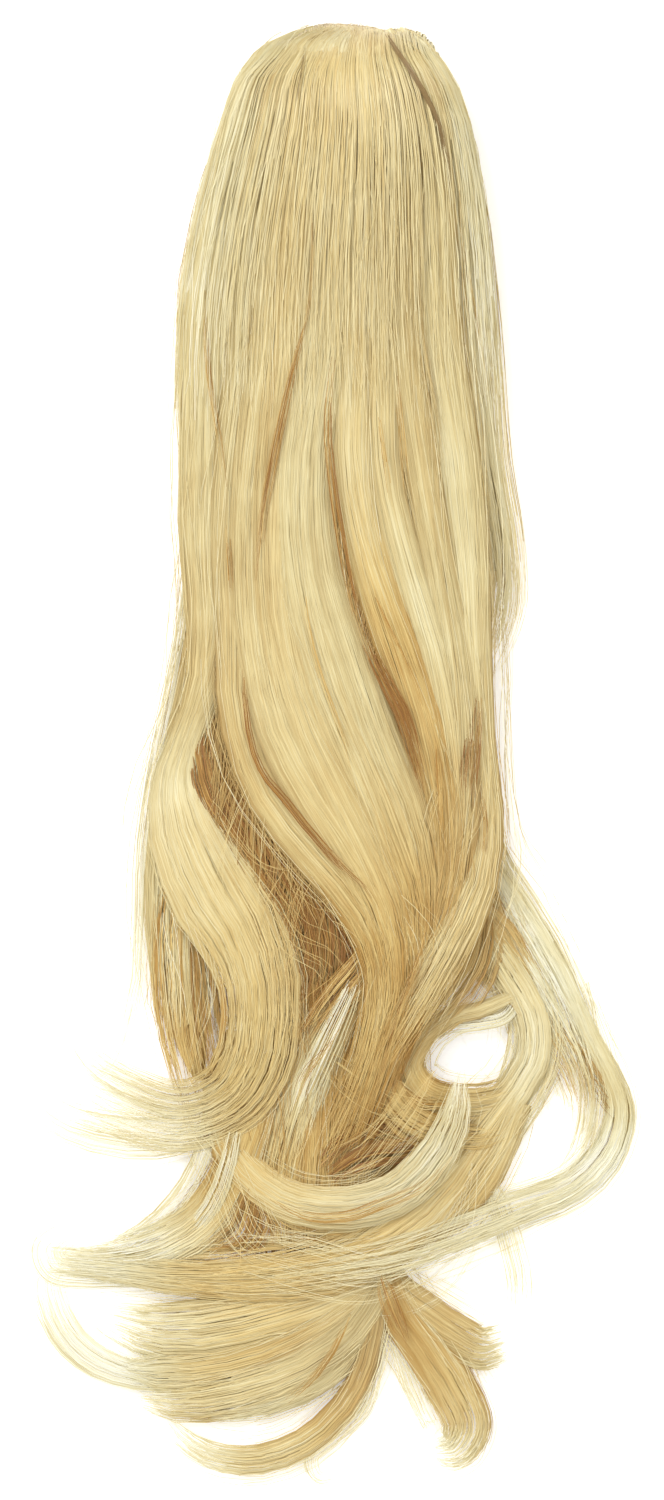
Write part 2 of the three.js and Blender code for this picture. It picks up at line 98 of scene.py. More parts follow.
# The locks. Their widths at the root, the belly and the tip and the spots of their routes are percent as
# above, and a third number in a spot is the width there. lane is a lock's place under the clip, from -1 at
# the left to 1, thick its thickness in LOCK_THICKNESS, and level the shares of the heap's height at its two
# ends. tone runs from 0 for the painted shade of a deep gap to 1 for the palest hair, and gold from 0 for
# ash to 1 for honey, in even steps along the lock. tone is partly the hair's own colour and partly painted
# light and shade: darker where a lock lies in shade, and paler at thin tips as painted light shining
# through them. flare widens the strands at the tip, solid is the part of the length that has a body under
# its strands, fullness is a share of the usual number of strands, and the rest are GUIDE_HABITS.
LOCKS = {
    "over_left": [
        dict(name="left_sweep", lane=-0.8, width=(7, 30, 4), thick=1.1, level=(1, 0.6), edge=0.1,
             flare=0.9, solid=(0, 0.84),
             tone=(0.7, 0.72, 0.6, 0.56, 0.7, 0.66, 0.68, 0.66, 0.92),
             gold=(0.2, 0.1, 0.2, 0.5, 0.2, 0.6, 0.9, 0.9, 0.1), early=1.2, gathers=0.9,
             route=[(-42, 34, 18), (-42.5, 42, 15), (-46.5, 46, 10), (-52, 49, 10), (-55.5, 52, 15),
                    (-53, 55, 24), (-43.5, 59.3, 32), (-34, 62.4, 31), (-28.5, 65.5, 28), (-27.5, 68.5, 26),
                    (-30, 71.5, 26), (-38, 74, 22), (-56, 75.3, 14), (-88, 73, 4)]),
        dict(name="long_s", lane=-0.56, width=(7, 13, 12), thick=1.1, level=(1, 0.7), gathers=0.3,
             tone=(0.72, 0.72, 0.64, 0.54, 0.54, 0.58, 0.5, 0.58, 0.5),
             gold=(0.2, 0.1, 0.1, 0.4, 0.6, 0.6, 0.95, 1, 0.9),
             route=[(-37, 34), (-36, 42), (-35, 47), (-28, 52), (-15, 56), (-2, 59), (8, 62), (13, 65.5),
                    (10, 70), (3, 74), (-7, 78.5)]),
    ],
    "over_middle": [
        dict(name="sweep_edge", lane=-0.42, width=(7, 16, 8), thick=1, level=(1.02, 0.75), gathers=0.3,
             tone=(0.72, 0.7, 0.66, 0.58, 0.6, 0.56, 0.54, 0.5, 0.34),
             gold=(0.35, 0.35, 0.35, 0.3, 0.4, 0.6, 1, 1, 1),
             route=[(-30, 34), (-29, 42), (-22, 48.5), (-11, 53), (2, 57.2), (12, 61), (17, 65), (15, 69),
                    (8, 73), (1, 77)]),
        dict(name="sweep_left", lane=-0.28, width=(7, 19, 8), thick=1.1, level=(1.05, 0.75), gathers=0.3,
             tone=(0.74, 0.72, 0.64, 0.56, 0.57, 0.56, 0.48, 0.46, 0.34),
             gold=(0.35, 0.35, 0.45, 0.45, 0.4, 0.6, 1, 1, 1),
             route=[(-22, 34), (-21, 41), (-13, 47.5), (-2, 52.5), (10, 57.5), (18, 61.5), (20, 66),
                    (15, 70), (8, 74.5), (2, 78)]),
        dict(name="sweep_middle", lane=-0.14, width=(7, 19, 8), thick=1.1, level=(1.05, 0.75), gathers=0.3,
             tone=(0.74, 0.72, 0.66, 0.61, 0.56, 0.58, 0.53, 0.45, 0.36),
             gold=(0.35, 0.35, 0.25, 0.15, 0.25, 0.4, 0.95, 1, 1),
             route=[(-16, 32), (-14, 39), (-6, 45.5), (5, 51), (16, 56.5), (23, 61), (22, 66), (17, 70.5),
                    (10, 74)]),
        dict(name="sweep_right", lane=-0.02, width=(7, 16, 7), thick=1, level=(1.05, 0.75), gathers=0.3,
             tone=(0.72, 0.7, 0.64, 0.58, 0.52, 0.58, 0.54, 0.4, 0.4),
             gold=(0.35, 0.35, 0.25, 0.15, 0.15, 0.2, 0.85, 1, 1),
             route=[(-10, 30), (-8, 37.5), (2, 44), (12, 49.5), (22, 54.5), (27, 59.5), (25, 64.5),
                    (20, 69), (14, 72)]),
    ],
    "over_right": [
        dict(name="gold_band", lane=0.14, width=(7, 15, 6), thick=1, level=(1.03, 0.75), gathers=0.3,
             tone=(0.68, 0.66, 0.64, 0.68, 0.58, 0.5, 0.46, 0.42, 0.42),
             gold=(0.5, 0.5, 0.5, 0.5, 0.95, 0.9, 0.85, 1, 1),
             route=[(4, 31), (11, 38), (20, 43.5), (28, 48.5), (33, 53.5), (34, 58.5), (30, 63), (23, 68),
                    (16, 71.5)]),
        dict(name="right_fall_a", lane=0.3, width=(7, 13, 6), thick=1, level=(1, 0.75), gathers=0.3,
             tone=(0.68, 0.56, 0.54, 0.56, 0.62, 0.54, 0.46, 0.44, 0.42),
             gold=(0.35, 0.3, 0.35, 0.35, 0.15, 0.5, 0.85, 1, 1),
             route=[(14, 31), (22, 38), (30, 43.5), (35, 49), (37, 54.5), (34, 60), (27, 64.5), (20, 68.5),
                    (12, 72)]),
        dict(name="right_fall_b", lane=0.46, width=(7, 13, 6), thick=1, level=(1, 0.8), gathers=0.3,
             tone=(0.68, 0.5, 0.46, 0.52, 0.54, 0.54, 0.46, 0.5, 0.42),
             gold=(0.3, 0.2, 0.25, 0.4, 0.2, 0.3, 0.85, 1, 1),
             route=[(27, 31), (33, 38), (38, 44), (40, 50), (40, 55), (36, 60.5), (28, 65), (20, 68.5),
                    (13, 71.5)]),
        dict(name="right_turn", lane=0.66, width=(7, 17, 7), thick=1.1, level=(1, 1), gathers=0.3,
             tone=(0.7, 0.66, 0.6, 0.6, 0.58, 0.6, 0.66, 0.68, 0.45),
             gold=(0.3, 0.3, 0.3, 0.15, 0.3, 0.6, 0.7, 0.7, 1),
             route=[(39, 31, 15), (42.5, 38, 15), (44, 44.5, 13), (46.5, 50, 10), (48.5, 54.5, 11),
                    (46, 58.5, 14), (39.5, 62, 15), (31, 65.2, 15), (22, 68.4, 13), (14, 71.4, 9)]),
        # right_edge's edges are painted paler, as painted light on its shaded rim.
        dict(name="right_edge", lane=0.86, width=(7, 13, 4), thick=0.9, level=(0.95, 0.3), edge=-0.1,
             tone=0.74, gold=0.3,
             route=[(46, 30), (50.5, 35), (52, 39), (49, 43.5)]),
    ],
    "over_curls": [
        # up_curl is paler along its second half partly as painted light, raised where the curl lies in shade.
        dict(name="up_curl", width=(9, 15, 1), thick=0.9, level=(0.3, 1), flare=0.08,
             tone=(0.6, 0.62, 0.58, 0.7, 0.76, 0.78, 0.82, 0.78, 0.95),
             gold=(1, 0.95, 0.95, 0.75, 0.5, 0.3, 0.3, 0.3, 0.1),
             route=[(-34, 69.5), (-41, 73.5), (-36, 78), (-20, 80.8), (0, 81.5), (18, 80.5), (31, 78),
                    (38, 75), (40, 72)]),
        dict(name="wide_band", width=(7, 21, 4), thick=1, level=(0.4, 0.6), flare=0.4, solid=(0.44, 0.76),
             late=0.55, loose=2.6, fullness=1.1,
             tone=(0.7, 0.7, 0.76, 0.78, 0.66, 0.68, 0.64, 0.66, 0.6, 0.8, 0.92),
             gold=(0.3, 0.4, 0.3, 0.3, 0.8, 0.9, 0.95, 0.9, 0.9, 0.3, 0), early=1.4,
             route=[(46, 62, 10), (56, 65, 11), (64.5, 68.2, 11), (65, 71, 11), (58, 73.7, 11),
                    (48, 76.3, 13), (38, 79.2, 17), (22, 82.6, 20), (0, 85.2, 21), (-28, 86.2, 19),
                    (-55, 86.2, 13), (-78, 85.7, 9), (-100, 85.2, 6)]),
        dict(name="low_left", width=(14, 18, 3), thick=0.8, level=(0.5, 0.2), flare=0.4, solid=(0, 0.62),
             loose=1.5,
             tone=(0.52, 0.56, 0.54, 0.66, 0.82, 0.94, 0.98),
             gold=(1, 1, 0.95, 0.6, 0.2, 0, 0), early=0.5,
             route=[(-25, 71), (-31, 76), (-38, 80), (-47, 82.6), (-60, 84.2), (-75, 84.9), (-90, 85)]),
    ],
    "under_falls": [
        dict(name="back_left", width=(10, 24, 16), thick=1, level=(0.3, 0.3), solid=(0, 0.95),
             tone=(0.5, 0.5, 0.5, 0.6, 0.68, 0.66, 0.56, 0.6),
             gold=(0.6, 0.6, 0.6, 0.3, 0.2, 0.2, 1, 0.8),
             route=[(-26, 13), (-36, 26), (-41, 40), (-47, 49), (-53.5, 57), (-54, 64), (-51, 70),
                    (-45, 75)]),
        # pale_veil is paler along its middle partly as painted light, raised where it lies in the shade of the
        # locks over it.
        dict(name="pale_veil", width=(12, 24, 8), thick=0.6, level=(0.3, 0.1), solid=(0, 0.4), fullness=0.7,
             early=0.7, edge=0.05, loose=1.4,
             tone=(0.5, 0.5, 0.5, 0.6, 0.74, 0.84, 0.88, 0.76, 0.68, 0.85),
             gold=(0.6, 0.6, 0.6, 0.4, 0.3, 0.1, 0, 0.1, 0.3, 0.1),
             route=[(22, 13), (32, 26), (37, 41), (39, 51), (43, 57.5), (56, 62), (68, 66.3), (77, 70),
                    (83, 73.5), (81, 77.5)]),
        dict(name="outer_loop", width=(4, 11, 12), thick=0.6, level=(0.1, 0.9), edge=0.05,
             solid=(0.3, 0.4), loose=3.2,
             tone=(0.82, 0.8, 0.82, 0.66, 0.62, 0.9, 0.9, 0.84, 0.76, 0.76, 0.7),
             gold=(0.1, 0.1, 0, 0.1, 0.1, 0, 0, 0.1, 0.1, 0.3, 0.3), fullness=0.75, slender=0.85,
             route=[(51, 58.6, 3), (64, 61.7, 4), (74, 65.2, 5), (81, 68.4, 5), (86.5, 70.8, 6),
                    (91.5, 72.8, 7), (94, 75, 8), (91.5, 77.1, 9), (86, 78.8, 10), (77, 80.3, 10),
                    (60, 81.7, 11), (42, 83.1, 12), (20, 84.6, 12), (-4, 85.4, 12), (-26, 86, 12)]),
        dict(name="ring_curl", width=(8, 12, 9), thick=0.8, level=(0.5, 0.3), solid=(0.4, 0.85), late=0.3,
             loose=1.5,
             tone=(0.7, 0.6, 0.56, 0.56, 0.56, 0.66, 0.6, 0.66, 0.66, 0.68, 0.68),
             gold=(0.1, 0.3, 0.4, 0.5, 0.9, 0.95, 0.95, 0.8, 0.6, 0.3, 0.1),
             route=[(66, 65.8, 3), (57, 67, 4), (47, 67.9, 5), (37, 68.4, 5), (27.5, 69.7, 7),
                    (22.5, 71.8, 9), (28, 73.7, 11), (41, 74.5, 12), (55, 74, 11), (65, 72.2, 8),
                    (70, 69.6, 4)]),
        dict(name="right_back_curl", width=(12, 16, 10), thick=0.9, level=(0.4, 0.3),
             tone=(0.66, 0.68, 0.62, 0.66, 0.72),
             gold=(0.5, 0.6, 0.9, 0.9, 0.8),
             route=[(58, 74), (53, 76.4), (46, 79), (36, 81.5), (18, 83.6)]),
        dict(name="middle_back", width=(22, 36, 26), thick=0.9, level=(0.4, 0.3), solid=(0, 1),
             tone=(0.3, 0.42, 0.46, 0.56),
             gold=(1, 0.9, 1, 0.7),
             route=[(-4, 66), (-6, 72), (-8, 78), (-10, 86)]),
        dict(name="gold_patch", width=(10, 17, 12), thick=0.7, level=(0.35, 0.3), solid=(0, 1), loose=1.6,
             tone=(0.5, 0.58, 0.66, 0.7), gold=(0.9, 0.9, 0.8, 0.6),
             route=[(38, 56), (45, 60.5), (51, 64), (58, 66.8)]),
        dict(name="ring_back", width=(10, 19, 14), thick=0.7, level=(0.3, 0.2), solid=(0, 1), loose=1.6,
             tone=(0.62, 0.44, 0.36, 0.4), gold=(0.8, 1, 1, 1),
             route=[(40, 74), (28, 75.6), (15, 77.4), (2, 80)]),
        dict(name="pale_streak", width=(10, 17, 12), thick=0.9, level=(0.6, 0.3), solid=(0, 0.95),
             tone=(0.48, 0.42, 0.5, 0.72, 0.62, 0.62),
             gold=(0.95, 0.9, 0.3, 0.2, 0.85, 0.9),
             route=[(12, 64), (2, 67.3), (-7, 70.5), (-13, 74), (-18, 77.5), (-22, 81)]),
    ],
    "under_fan": [
        dict(name="fan_high", width=(14, 19, 3), thick=0.9, level=(0.4, 0.2), flare=0.3, solid=(0, 0.6),
             tone=(0.5, 0.62, 0.66, 0.7, 0.74, 0.9),
             gold=(0.2, 0.6, 0.9, 0.5, 0.2, 0), early=1.0, gathers=0.4,
             route=[(16, 86, 12), (-6, 87.8, 15), (-28, 89.1, 19), (-48, 89.9, 19), (-64, 89.9, 17),
                    (-80, 89, 9)]),
        dict(name="fan_loop", width=(12, 14, 3), thick=0.8, level=(0.4, 0.2), flare=0.3, solid=(0, 0.55),
             tone=(0.4, 0.52, 0.54, 0.66, 0.74, 0.88),
             gold=(0.2, 0.5, 0.8, 0.8, 0.3, 0), early=1.2, gathers=0.4,
             route=[(14, 86.4), (-5, 89.4), (-26, 91.6), (-46, 92.6), (-62, 92.8), (-74, 92.6)]),
        dict(name="fan_middle", width=(12, 17, 4), thick=0.9, level=(0.4, 0.2), flare=0.4, solid=(0, 0.6),
             tone=(0.36, 0.44, 0.56, 0.68, 0.66, 0.84),
             gold=(0.1, 0.2, 0.3, 0.5, 0.5, 0), early=1.2, gathers=0.4,
             route=[(14, 86.6), (3, 90), (-13, 92.4), (-33, 93.9), (-52, 94.6), (-69, 94.4)]),
        dict(name="fan_low", width=(11, 12, 4), thick=0.7, level=(0.4, 0.2), flare=0.3, solid=(0, 0.3),
             tone=(0.36, 0.46, 0.56, 0.64, 0.78, 0.88),
             gold=0.25, streaky=0.6, gathers=0.4,
             route=[(12, 86.8), (6, 89.8), (-3, 92.3), (-15, 93.9), (-30, 95), (-50, 95.6)]),
        dict(name="bottom_curl", width=(7, 9, 3), thick=0.8, level=(0.3, 0.2), flare=0.2, solid=(0, 0.66),
             tone=(0.3, 0.36, 0.4, 0.58, 0.66, 0.76, 0.88, 0.9),
             gold=(0.3, 0.4, 0.8, 0.9, 0.7, 0.4, 0.1, 0), gathers=0.5,
             route=[(13, 87), (10.5, 90.5), (6, 93.5), (-2, 95.9), (-14, 97.9), (-29, 98.9), (-43, 98.6),
                    (-53, 97.5), (-59, 96.2)]),
        dict(name="right_leg", width=(11, 17, 4), thick=0.9, level=(0.3, 0.3), flare=0.4, solid=(0, 0.62),
             loose=1.5,
             tone=(0.32, 0.38, 0.44, 0.48, 0.54, 0.74, 0.85),
             gold=(0.6, 0.8, 0.8, 0.7, 0.4, 0.1, 0), early=1.3,
             route=[(13, 85.5), (20, 89), (30, 91.8), (38, 94.4), (42, 96.6), (38, 98.2), (31, 98.4)]),
        dict(name="right_flip", width=(9, 15, 8), thick=0.8, level=(0.3, 0.2), flare=0.8, solid=(0, 0.5),
             loose=1.6,
             tone=(0.4, 0.44, 0.46, 0.58, 0.85),
             gold=(0.3, 0.5, 0.6, 0.3, 0), early=1.3,
             route=[(14, 86.2), (26, 88.4), (38, 90.1), (47, 91), (55, 90.6)]),
    ],
}

# Hair that follows the whole heap: its rows give percent of TAIL_LENGTH and the share of the heap's height,
# and its span the part of the heap's width that it takes, from -1 to 1. Its low tones are painted shade deep
# inside the hair, where it shows between the locks.
SHEETS = [
    dict(rows=[(8, 0.9), (20, 0.9), (34, 0.85), (48, 0.8), (58, 0.7), (66, 0.5)], span=(-0.8, 0.6), tone=0.3,
         gold=0.6, strands=300, power=2.6, deep=0.3, late=0.3, loose=1.6, shag=0.1, edge=0.0),
    dict(rows=[(10, 0.3), (20, 0.5), (34, 0.55), (48, 0.6), (58, 0.62), (66, 0.6), (74, 0.55), (80, 0.5)],
         span=(-0.85, 0.36), tone=0.25, gold=0.75, strands=420, power=2.6, deep=0.2, late=0.4, loose=1.6,
         streaky=0.5, shag=0.15, edge=0.0),
]

# Thin falls of hair, loose ends and crossing strands, of which most are pale.
WISP_COLUMNS = ("weft", "width", "thick", "level", "tone", "gold", "strands", "route")
WISPS = [
    ("under", (12, 26, 22), 0.4, (0.2, 0.1), 0.84, 0.1, 170,
     [(38, 52), (48, 59.5), (63, 65.6), (73, 71), (79, 75)]),
    ("under", (4, 9, 5), 0.4, (0.5, 0.05), 0.9, 0.1, 40,
     [(-48, 26), (-51, 38), (-56, 45), (-62, 51), (-66, 57), (-67, 62), (-69, 67), (-77, 72), (-94, 74)]),
    ("over", (4, 8, 4), 0.5, (0.6, 0.1), 0.9, 0.1, 90,
     [(-27, 1.8), (-37, 6), (-45.5, 12), (-50.5, 19), (-51.5, 26), (-50, 33), (-49.5, 40), (-53, 46),
      (-58.5, 51), (-63, 57), (-65, 64)]),
    ("over", (4, 9, 4), 0.4, (0.9, 0.4), 0.7, 0.3, 100,
     [(36, 5), (45, 12), (49.5, 20), (52.5, 30), (57, 36), (58, 40), (54, 43), (49, 45)]),
    ("under", (6, 16, 10), 0.4, (0.3, 0.1), 0.95, 0.05, 60,
     [(-34, 72), (-44, 75), (-58, 76.4), (-78, 76.4), (-96, 75.2), (-106, 73)]),
    ("over", (6, 16, 7), 0.5, (0.6, 0.2), 0.9, 0.1, 45,
     [(-30, 71), (-40, 73.6), (-54, 74.6), (-70, 73.8), (-85, 71.8), (-94, 69)]),
    ("under", (8, 12, 7), 0.4, (0.3, 0.1), 0.97, 0.05, 160,
     [(-40, 92.6), (-58, 93.2), (-72, 93), (-84, 92), (-92.5, 90.4), (-97.5, 88.4), (-99, 86.6),
      (-96, 85.6)]),
    ("under", (8, 12, 6), 0.4, (0.4, 0.1), 0.97, 0.0, 45,
     [(-50, 86), (-70, 86), (-86, 86), (-97, 85.6), (-99, 84.4), (-93, 83.4), (-85, 83)]),
    ("under", (10, 20, 12), 0.5, (0.3, 0.2), 0.86, 0.25, 130,
     [(44, 57), (54, 61), (63, 65.6), (66.5, 69.6), (62, 73.2), (53, 76.6), (45, 80.2)]),
    ("under", (6, 9, 3), 0.4, (0.4, 0.2), 0.9, 0.15, 60,
     [(62, 62), (60, 66), (55, 68.1), (46, 68.6), (36, 68.8), (28, 69.6), (22, 71)]),
    ("under", (5, 8, 3), 0.5, (0.5, 0.1), 0.9, 0.2, 50,
     [(-44, 75), (-47, 78), (-53, 80.5), (-64, 83), (-78, 84.5), (-95, 84.5)]),
    ("over", (5, 8, 3), 0.5, (0.7, 0.3), 0.9, 0.2, 50,
     [(-36, 76), (-40, 79.5), (-46, 82), (-58, 84.5), (-78, 85.5), (-98, 86)]),
    ("under", (4, 6, 3), 0.4, (0.3, 0.1), 0.95, 0.1, 30,
     [(14, 90), (8, 95.5), (-3, 97.5), (-10, 98.8), (-8, 100), (2, 99.8)]),
    ("under", (5, 8, 4), 0.4, (0.3, 0.1), 0.92, 0.15, 40, [(15, 87), (21, 92), (26, 95), (33, 97.5)]),
    ("under", (3, 5, 2), 0.3, (0.1, 0.1), 0.95, 0.1, 25,
     [(82, 66), (84, 68), (85, 73), (82, 77), (76, 79)]),
    ("under", (4, 8, 3), 0.4, (0.3, 0.1), 0.9, 0.15, 40,
     [(46, 79), (52, 81), (57, 84), (60, 87), (58, 90)]),
    ("under", (10, 16, 10), 0.6, (0.6, 0.5), 0.5, 0.85, 170, [(46, 61), (42, 64.3), (34, 66.6), (24, 69)]),
    ("under", (10, 16, 8), 0.5, (0.5, 0.3), 0.55, 0.9, 160, [(46, 61), (53, 63), (60, 65.4), (67, 67.6)]),
    ("under", (5, 9, 5), 0.4, (0.1, 0.1), 0.3, 0.6, 45, [(80, 70), (86, 72.3), (92, 74), (97, 76)]),
    ("under", (5, 8, 4), 0.4, (0.1, 0.1), 0.8, 0.3, 45,
     [(76, 66), (82, 70), (84.5, 74), (81, 77.5), (74, 79.5)]),
    ("under", (8, 13, 8), 0.5, (0.1, 0.1), 0.5, 0.8, 50, [(66, 68), (72, 70), (78, 72), (82, 75)]),
    ("over", (5, 9, 6), 0.5, (0.75, 0.6), 0.95, 0.1, 34,
     [(4, 66), (-1, 68.3), (-6, 70.5), (-11, 72.8), (-15, 75)]),
    ("under", (12, 20, 12), 0.5, (0.4, 0.4), 0.6, 0.8, 110,
     [(46, 59), (46, 63), (40, 66), (31, 68), (21, 70.3)]),
    ("under", (7, 13, 9), 0.6, (0.66, 0.5), 0.56, 0.95, 190,
     [(11, 68.5), (13.5, 72.5), (20, 75), (32, 76.5), (46, 77), (60, 76)]),
]

# Single fine strands that cross the gaps.
CROSSINGS = [
    ("over", (14, 26, 16), 0.5, (0.7, 0.8), 0.42, 0.8, 12,
     [(-47, 46), (-38, 51), (-26, 56), (-12, 62), (-4, 68)]),
    ("over", (10, 18, 12), 0.5, (0.8, 0.8), 0.5, 0.7, 5, [(-52, 51), (-38, 53), (-24, 57), (-10, 58)]),
    ("over", (14, 24, 16), 0.5, (0.8, 0.8), 0.6, 0.6, 8, [(-22, 50), (-30, 56), (-32, 62)]),
    ("over", (14, 24, 16), 0.5, (0.8, 0.8), 0.5, 0.7, 14, [(-2, 57), (-12, 61), (-14, 66), (-8, 72)]),
    ("over", (14, 24, 16), 0.5, (0.8, 0.8), 0.6, 0.8, 12, [(-24, 60), (-14, 62.5), (-3, 63.5), (8, 66)]),
    ("over", (8, 20, 12), 0.5, (0.8, 0.7), 0.55, 0.9, 14, [(-10, 71), (5, 74), (20, 75.5), (36, 76)]),
    ("over", (8, 20, 12), 0.5, (0.8, 0.7), 0.6, 0.8, 14, [(30, 70), (20, 74), (8, 77), (-6, 78.5)]),
    ("over", (8, 20, 12), 0.5, (0.8, 0.7), 0.6, 0.8, 16, [(34, 72), (24, 76), (12, 79.5), (-4, 81.5)]),
    ("over", (10, 22, 12), 0.5, (1.0, 0.9), 0.8, 0.3, 16, [(-56, 60), (-50, 66), (-52, 71)]),
    ("over", (12, 24, 12), 0.5, (1.0, 0.9), 0.6, 0.6, 12, [(46, 48), (38, 53), (30, 57)]),
    ("over", (12, 24, 12), 0.5, (1.0, 0.9), 0.75, 0.4, 16, [(50, 52), (54, 57), (46, 63)]),
    ("over", (8, 18, 12), 0.5, (1.0, 0.9), 0.7, 0.5, 14, [(18, 60), (28, 63), (30, 68)]),
    ("over", (8, 18, 12), 0.5, (0.7, 0.6), 0.7, 0.5, 22, [(-50, 76), (-38, 79), (-30, 83), (-20, 85)]),
    ("over", (8, 24, 12), 0.5, (0.9, 0.6), 0.8, 0.4, 26, [(30, 84), (10, 86), (-16, 85), (-40, 84)]),
    ("over", (8, 24, 12), 0.5, (0.6, 0.5), 0.8, 0.4, 26, [(44, 78), (36, 83), (24, 86), (6, 88)]),
]

# Painted shade: darker hair laid as deep fills between the locks and as dark lines along their edges. The
# level is a share of the heap's height.
SHADE_COLUMNS = ("width", "level", "tone", "strands", "route")
FILLS = [
    ((8, 16, 14), 0.62, 0.08, 170,
     [(-46, 46), (-46, 50), (-42, 53), (-33, 55.5), (-24, 58.5), (-14, 62), (-10, 66)]),
    ((14, 24, 8), 0.6, 0.0, 150, [(-16, 56), (-10, 59), (-5, 62), (-5, 65), (-12, 68)]),
    ((6, 12, 8), 0.7, 0.32, 80, [(10, 63.5), (4, 65.5), (-4, 67.5), (-12, 70)]),
    ((12, 20, 14), 0.5, 0.42, 120, [(-52, 58), (-54, 63), (-53, 68), (-50, 72)]),
    ((6, 12, 5), 0.5, 0.18, 80, [(-28, 71.5), (-33, 74), (-40, 75.8), (-50, 76.5)]),
    ((10, 16, 8), 0.55, 0.05, 120, [(-6, 79), (3, 77.5), (12, 76.8), (22, 76.6), (31, 76)]),
    ((8, 14, 8), 0.6, 0.38, 90, [(12, 72), (18, 74), (27, 75.2), (38, 75)]),
    ((10, 22, 10), 0.75, 0.34, 130, [(33, 50), (35, 54), (37, 58), (33, 62), (26, 66)]),
    ((8, 16, 6), 0.5, 0.25, 80, [(-28, 79.5), (-30, 81.5), (-34, 83.5), (-46, 84.5)]),
    ((10, 16, 10), 0.3, 0.62, 110, [(46, 60), (50, 63), (57, 65.4), (66, 67.4)]),
    ((14, 26, 14), 0.35, 0.3, 150, [(-22, 76), (-22, 80), (-20, 84), (-24, 88)]),
    ((8, 14, 8), 0.5, 0.35, 80, [(-30, 80), (-14, 82.4), (4, 82.4), (20, 81.2), (34, 79)]),
]
LINES = [
    ((1, 1.8, 0.8), 1.1, -0.2, 60, [(14.5, 0.8), (20, 2.6), (26, 4.5), (31, 6.5), (34.5, 9), (37, 12)]),
    ((1, 2.5, 1), 1, 0.3, 10, [(21, 6.5), (24, 8.5), (27, 10.5)]),
    ((2, 4, 2), 1, 0.32, 22, [(24, 10), (24.5, 14), (25, 19), (27, 23), (30, 26), (32, 29), (32, 33)]),
    ((1, 2, 1), 1, 0.22, 10, [(-46, 18), (-46, 21), (-44.5, 25), (-42, 28), (-39, 33)]),
    ((1, 2, 1), 1, 0.34, 10, [(-26, 7), (-28, 12), (-30, 17), (-31, 21), (-34, 25), (-36, 28)]),
    ((0.6, 1.2, 0.6), 1, 0.25, 10, [(-10, 13), (-10, 16), (-11, 19.5), (-14, 22)]),
    ((0.6, 3.4, 2), 1, 0.1, 26, [(-12, 20.5), (-16, 23.5), (-20, 27), (-24, 31), (-27, 34.5), (-29, 38.5)]),
    ((1, 3.4, 3), 1.03, 0.04, 32,
     [(-2, 22), (-4, 25), (-5, 28), (-3, 32), (0, 36), (4, 40), (11, 44), (17, 46.2)]),
    ((4, 6, 2), 0.97, -0.08, 64, [(8, 42.5), (15, 45.5), (20, 47.3), (24, 50), (28, 53.5)]),
    ((1, 2, 1), 1, 0.3, 10, [(12, 27), (14, 30), (16, 33)]),
    ((1, 2, 1), 1, 0.3, 10, [(18, 24), (20, 28), (22, 33)]),
    ((1, 2, 1), 1, 0.42, 8, [(9, 6), (9, 10), (10, 15), (11, 20)]),
    ((1, 2, 1), 1, 0.35, 8, [(-12, 1.2), (-12.5, 3), (-14, 5), (-15, 7)]),
    ((1, 2, 1), 1, 0.35, 8, [(-20, 1.6), (-24, 3), (-28, 5)]),
    ((2, 4, 2), 1, 0.5, 16, [(39, 14), (43, 19), (47, 24), (49, 26)]),
    ((1, 3, 1), 1, 0.32, 14, [(38, 20), (40, 24), (44, 28), (47, 31), (49, 34)]),
    ((1, 2, 1), 1, 0.38, 10, [(-39, 34), (-38, 37), (-37, 40)]),
    ((1, 2, 1), 1, 0.45, 10, [(-13, 38.5), (-11, 42), (-7, 45), (-2, 48), (4, 52)]),
    ((1, 2, 1), 1, 0.34, 10, [(10, 39), (17, 42), (24, 45), (28, 47.5)]),
    ((3, 7, 3), 1, 0.0, 34, [(46, 46), (44, 49.5), (42.5, 52), (44, 54.5)]),
    ((1, 3, 1), 1, 0.34, 14, [(46, 52), (48, 55), (47, 58)]),
    ((1, 2, 1), 1, 0.3, 12, [(32, 49.5), (33, 53), (33, 56)]),
    ((1, 2.6, 1), 1.02, -0.05, 34,
     [(-33, 44), (-32.5, 47), (-30, 50), (-26, 51.8), (-19, 53.5), (-10, 55.8), (-1, 57.8), (8, 59.5),
      (14, 61.5)]),
    ((1, 3, 1), 1, 0.3, 16, [(29, 61.5), (27, 63.5), (23, 66), (19, 68.5), (14, 72)]),
    ((1, 3, 1), 0.9, 0.3, 10, [(1, 68.5), (-5, 70.5), (-12, 72), (-17, 74.5), (-21, 77)]),
    ((1, 2, 1), 1, 0.28, 12, [(-41, 65.5), (-39.5, 68.5), (-42, 71.3)]),
    ((2, 4, 2), 1, 0.3, 26, [(-26, 80.5), (-12, 82), (2, 82), (15, 81), (28, 79.8), (37, 77.5)]),
    ((2, 6, 2), 1, 0.2, 30, [(13, 86), (15, 87.3), (18, 89), (22, 91)]),
    ((1, 3, 1), 1, 0.35, 16, [(4, 88), (-2, 91), (-10, 93.3), (-22, 95.5)]),
]


def heap_at(along):
    """The heap's left and right edge in percent of HALF_SPREAD, and its height in metres, at one place."""
    left, right, height = (np.interp(along, HEAP[:, 0], HEAP[:, column]) for column in (1, 2, 3))
    return left, right, height / 100 * CROWN_HEIGHT


def dome_share(across):
    return np.sqrt(np.maximum(0, 1 - np.abs(across) ** DOME_POWER))


def heap_height(across, along):
    left, right, height = heap_at(along)
    share = np.clip((2 * across - left - right) / (right - left), -1, 1)
    return height * dome_share(share)


def place(across, along, lift):
    """A point of the row's frame from its shares across and along the hair and its height in metres."""
    return np.array((MIDDLE_X + across / 100 * HALF_SPREAD, FOLD_Y - along / 100 * TAIL_LENGTH, lift))


def lengths_along(points):
    """How long a path is up to each of its points."""
    return np.concatenate(([0], np.cumsum(np.linalg.norm(np.diff(points, axis=0), axis=1))))


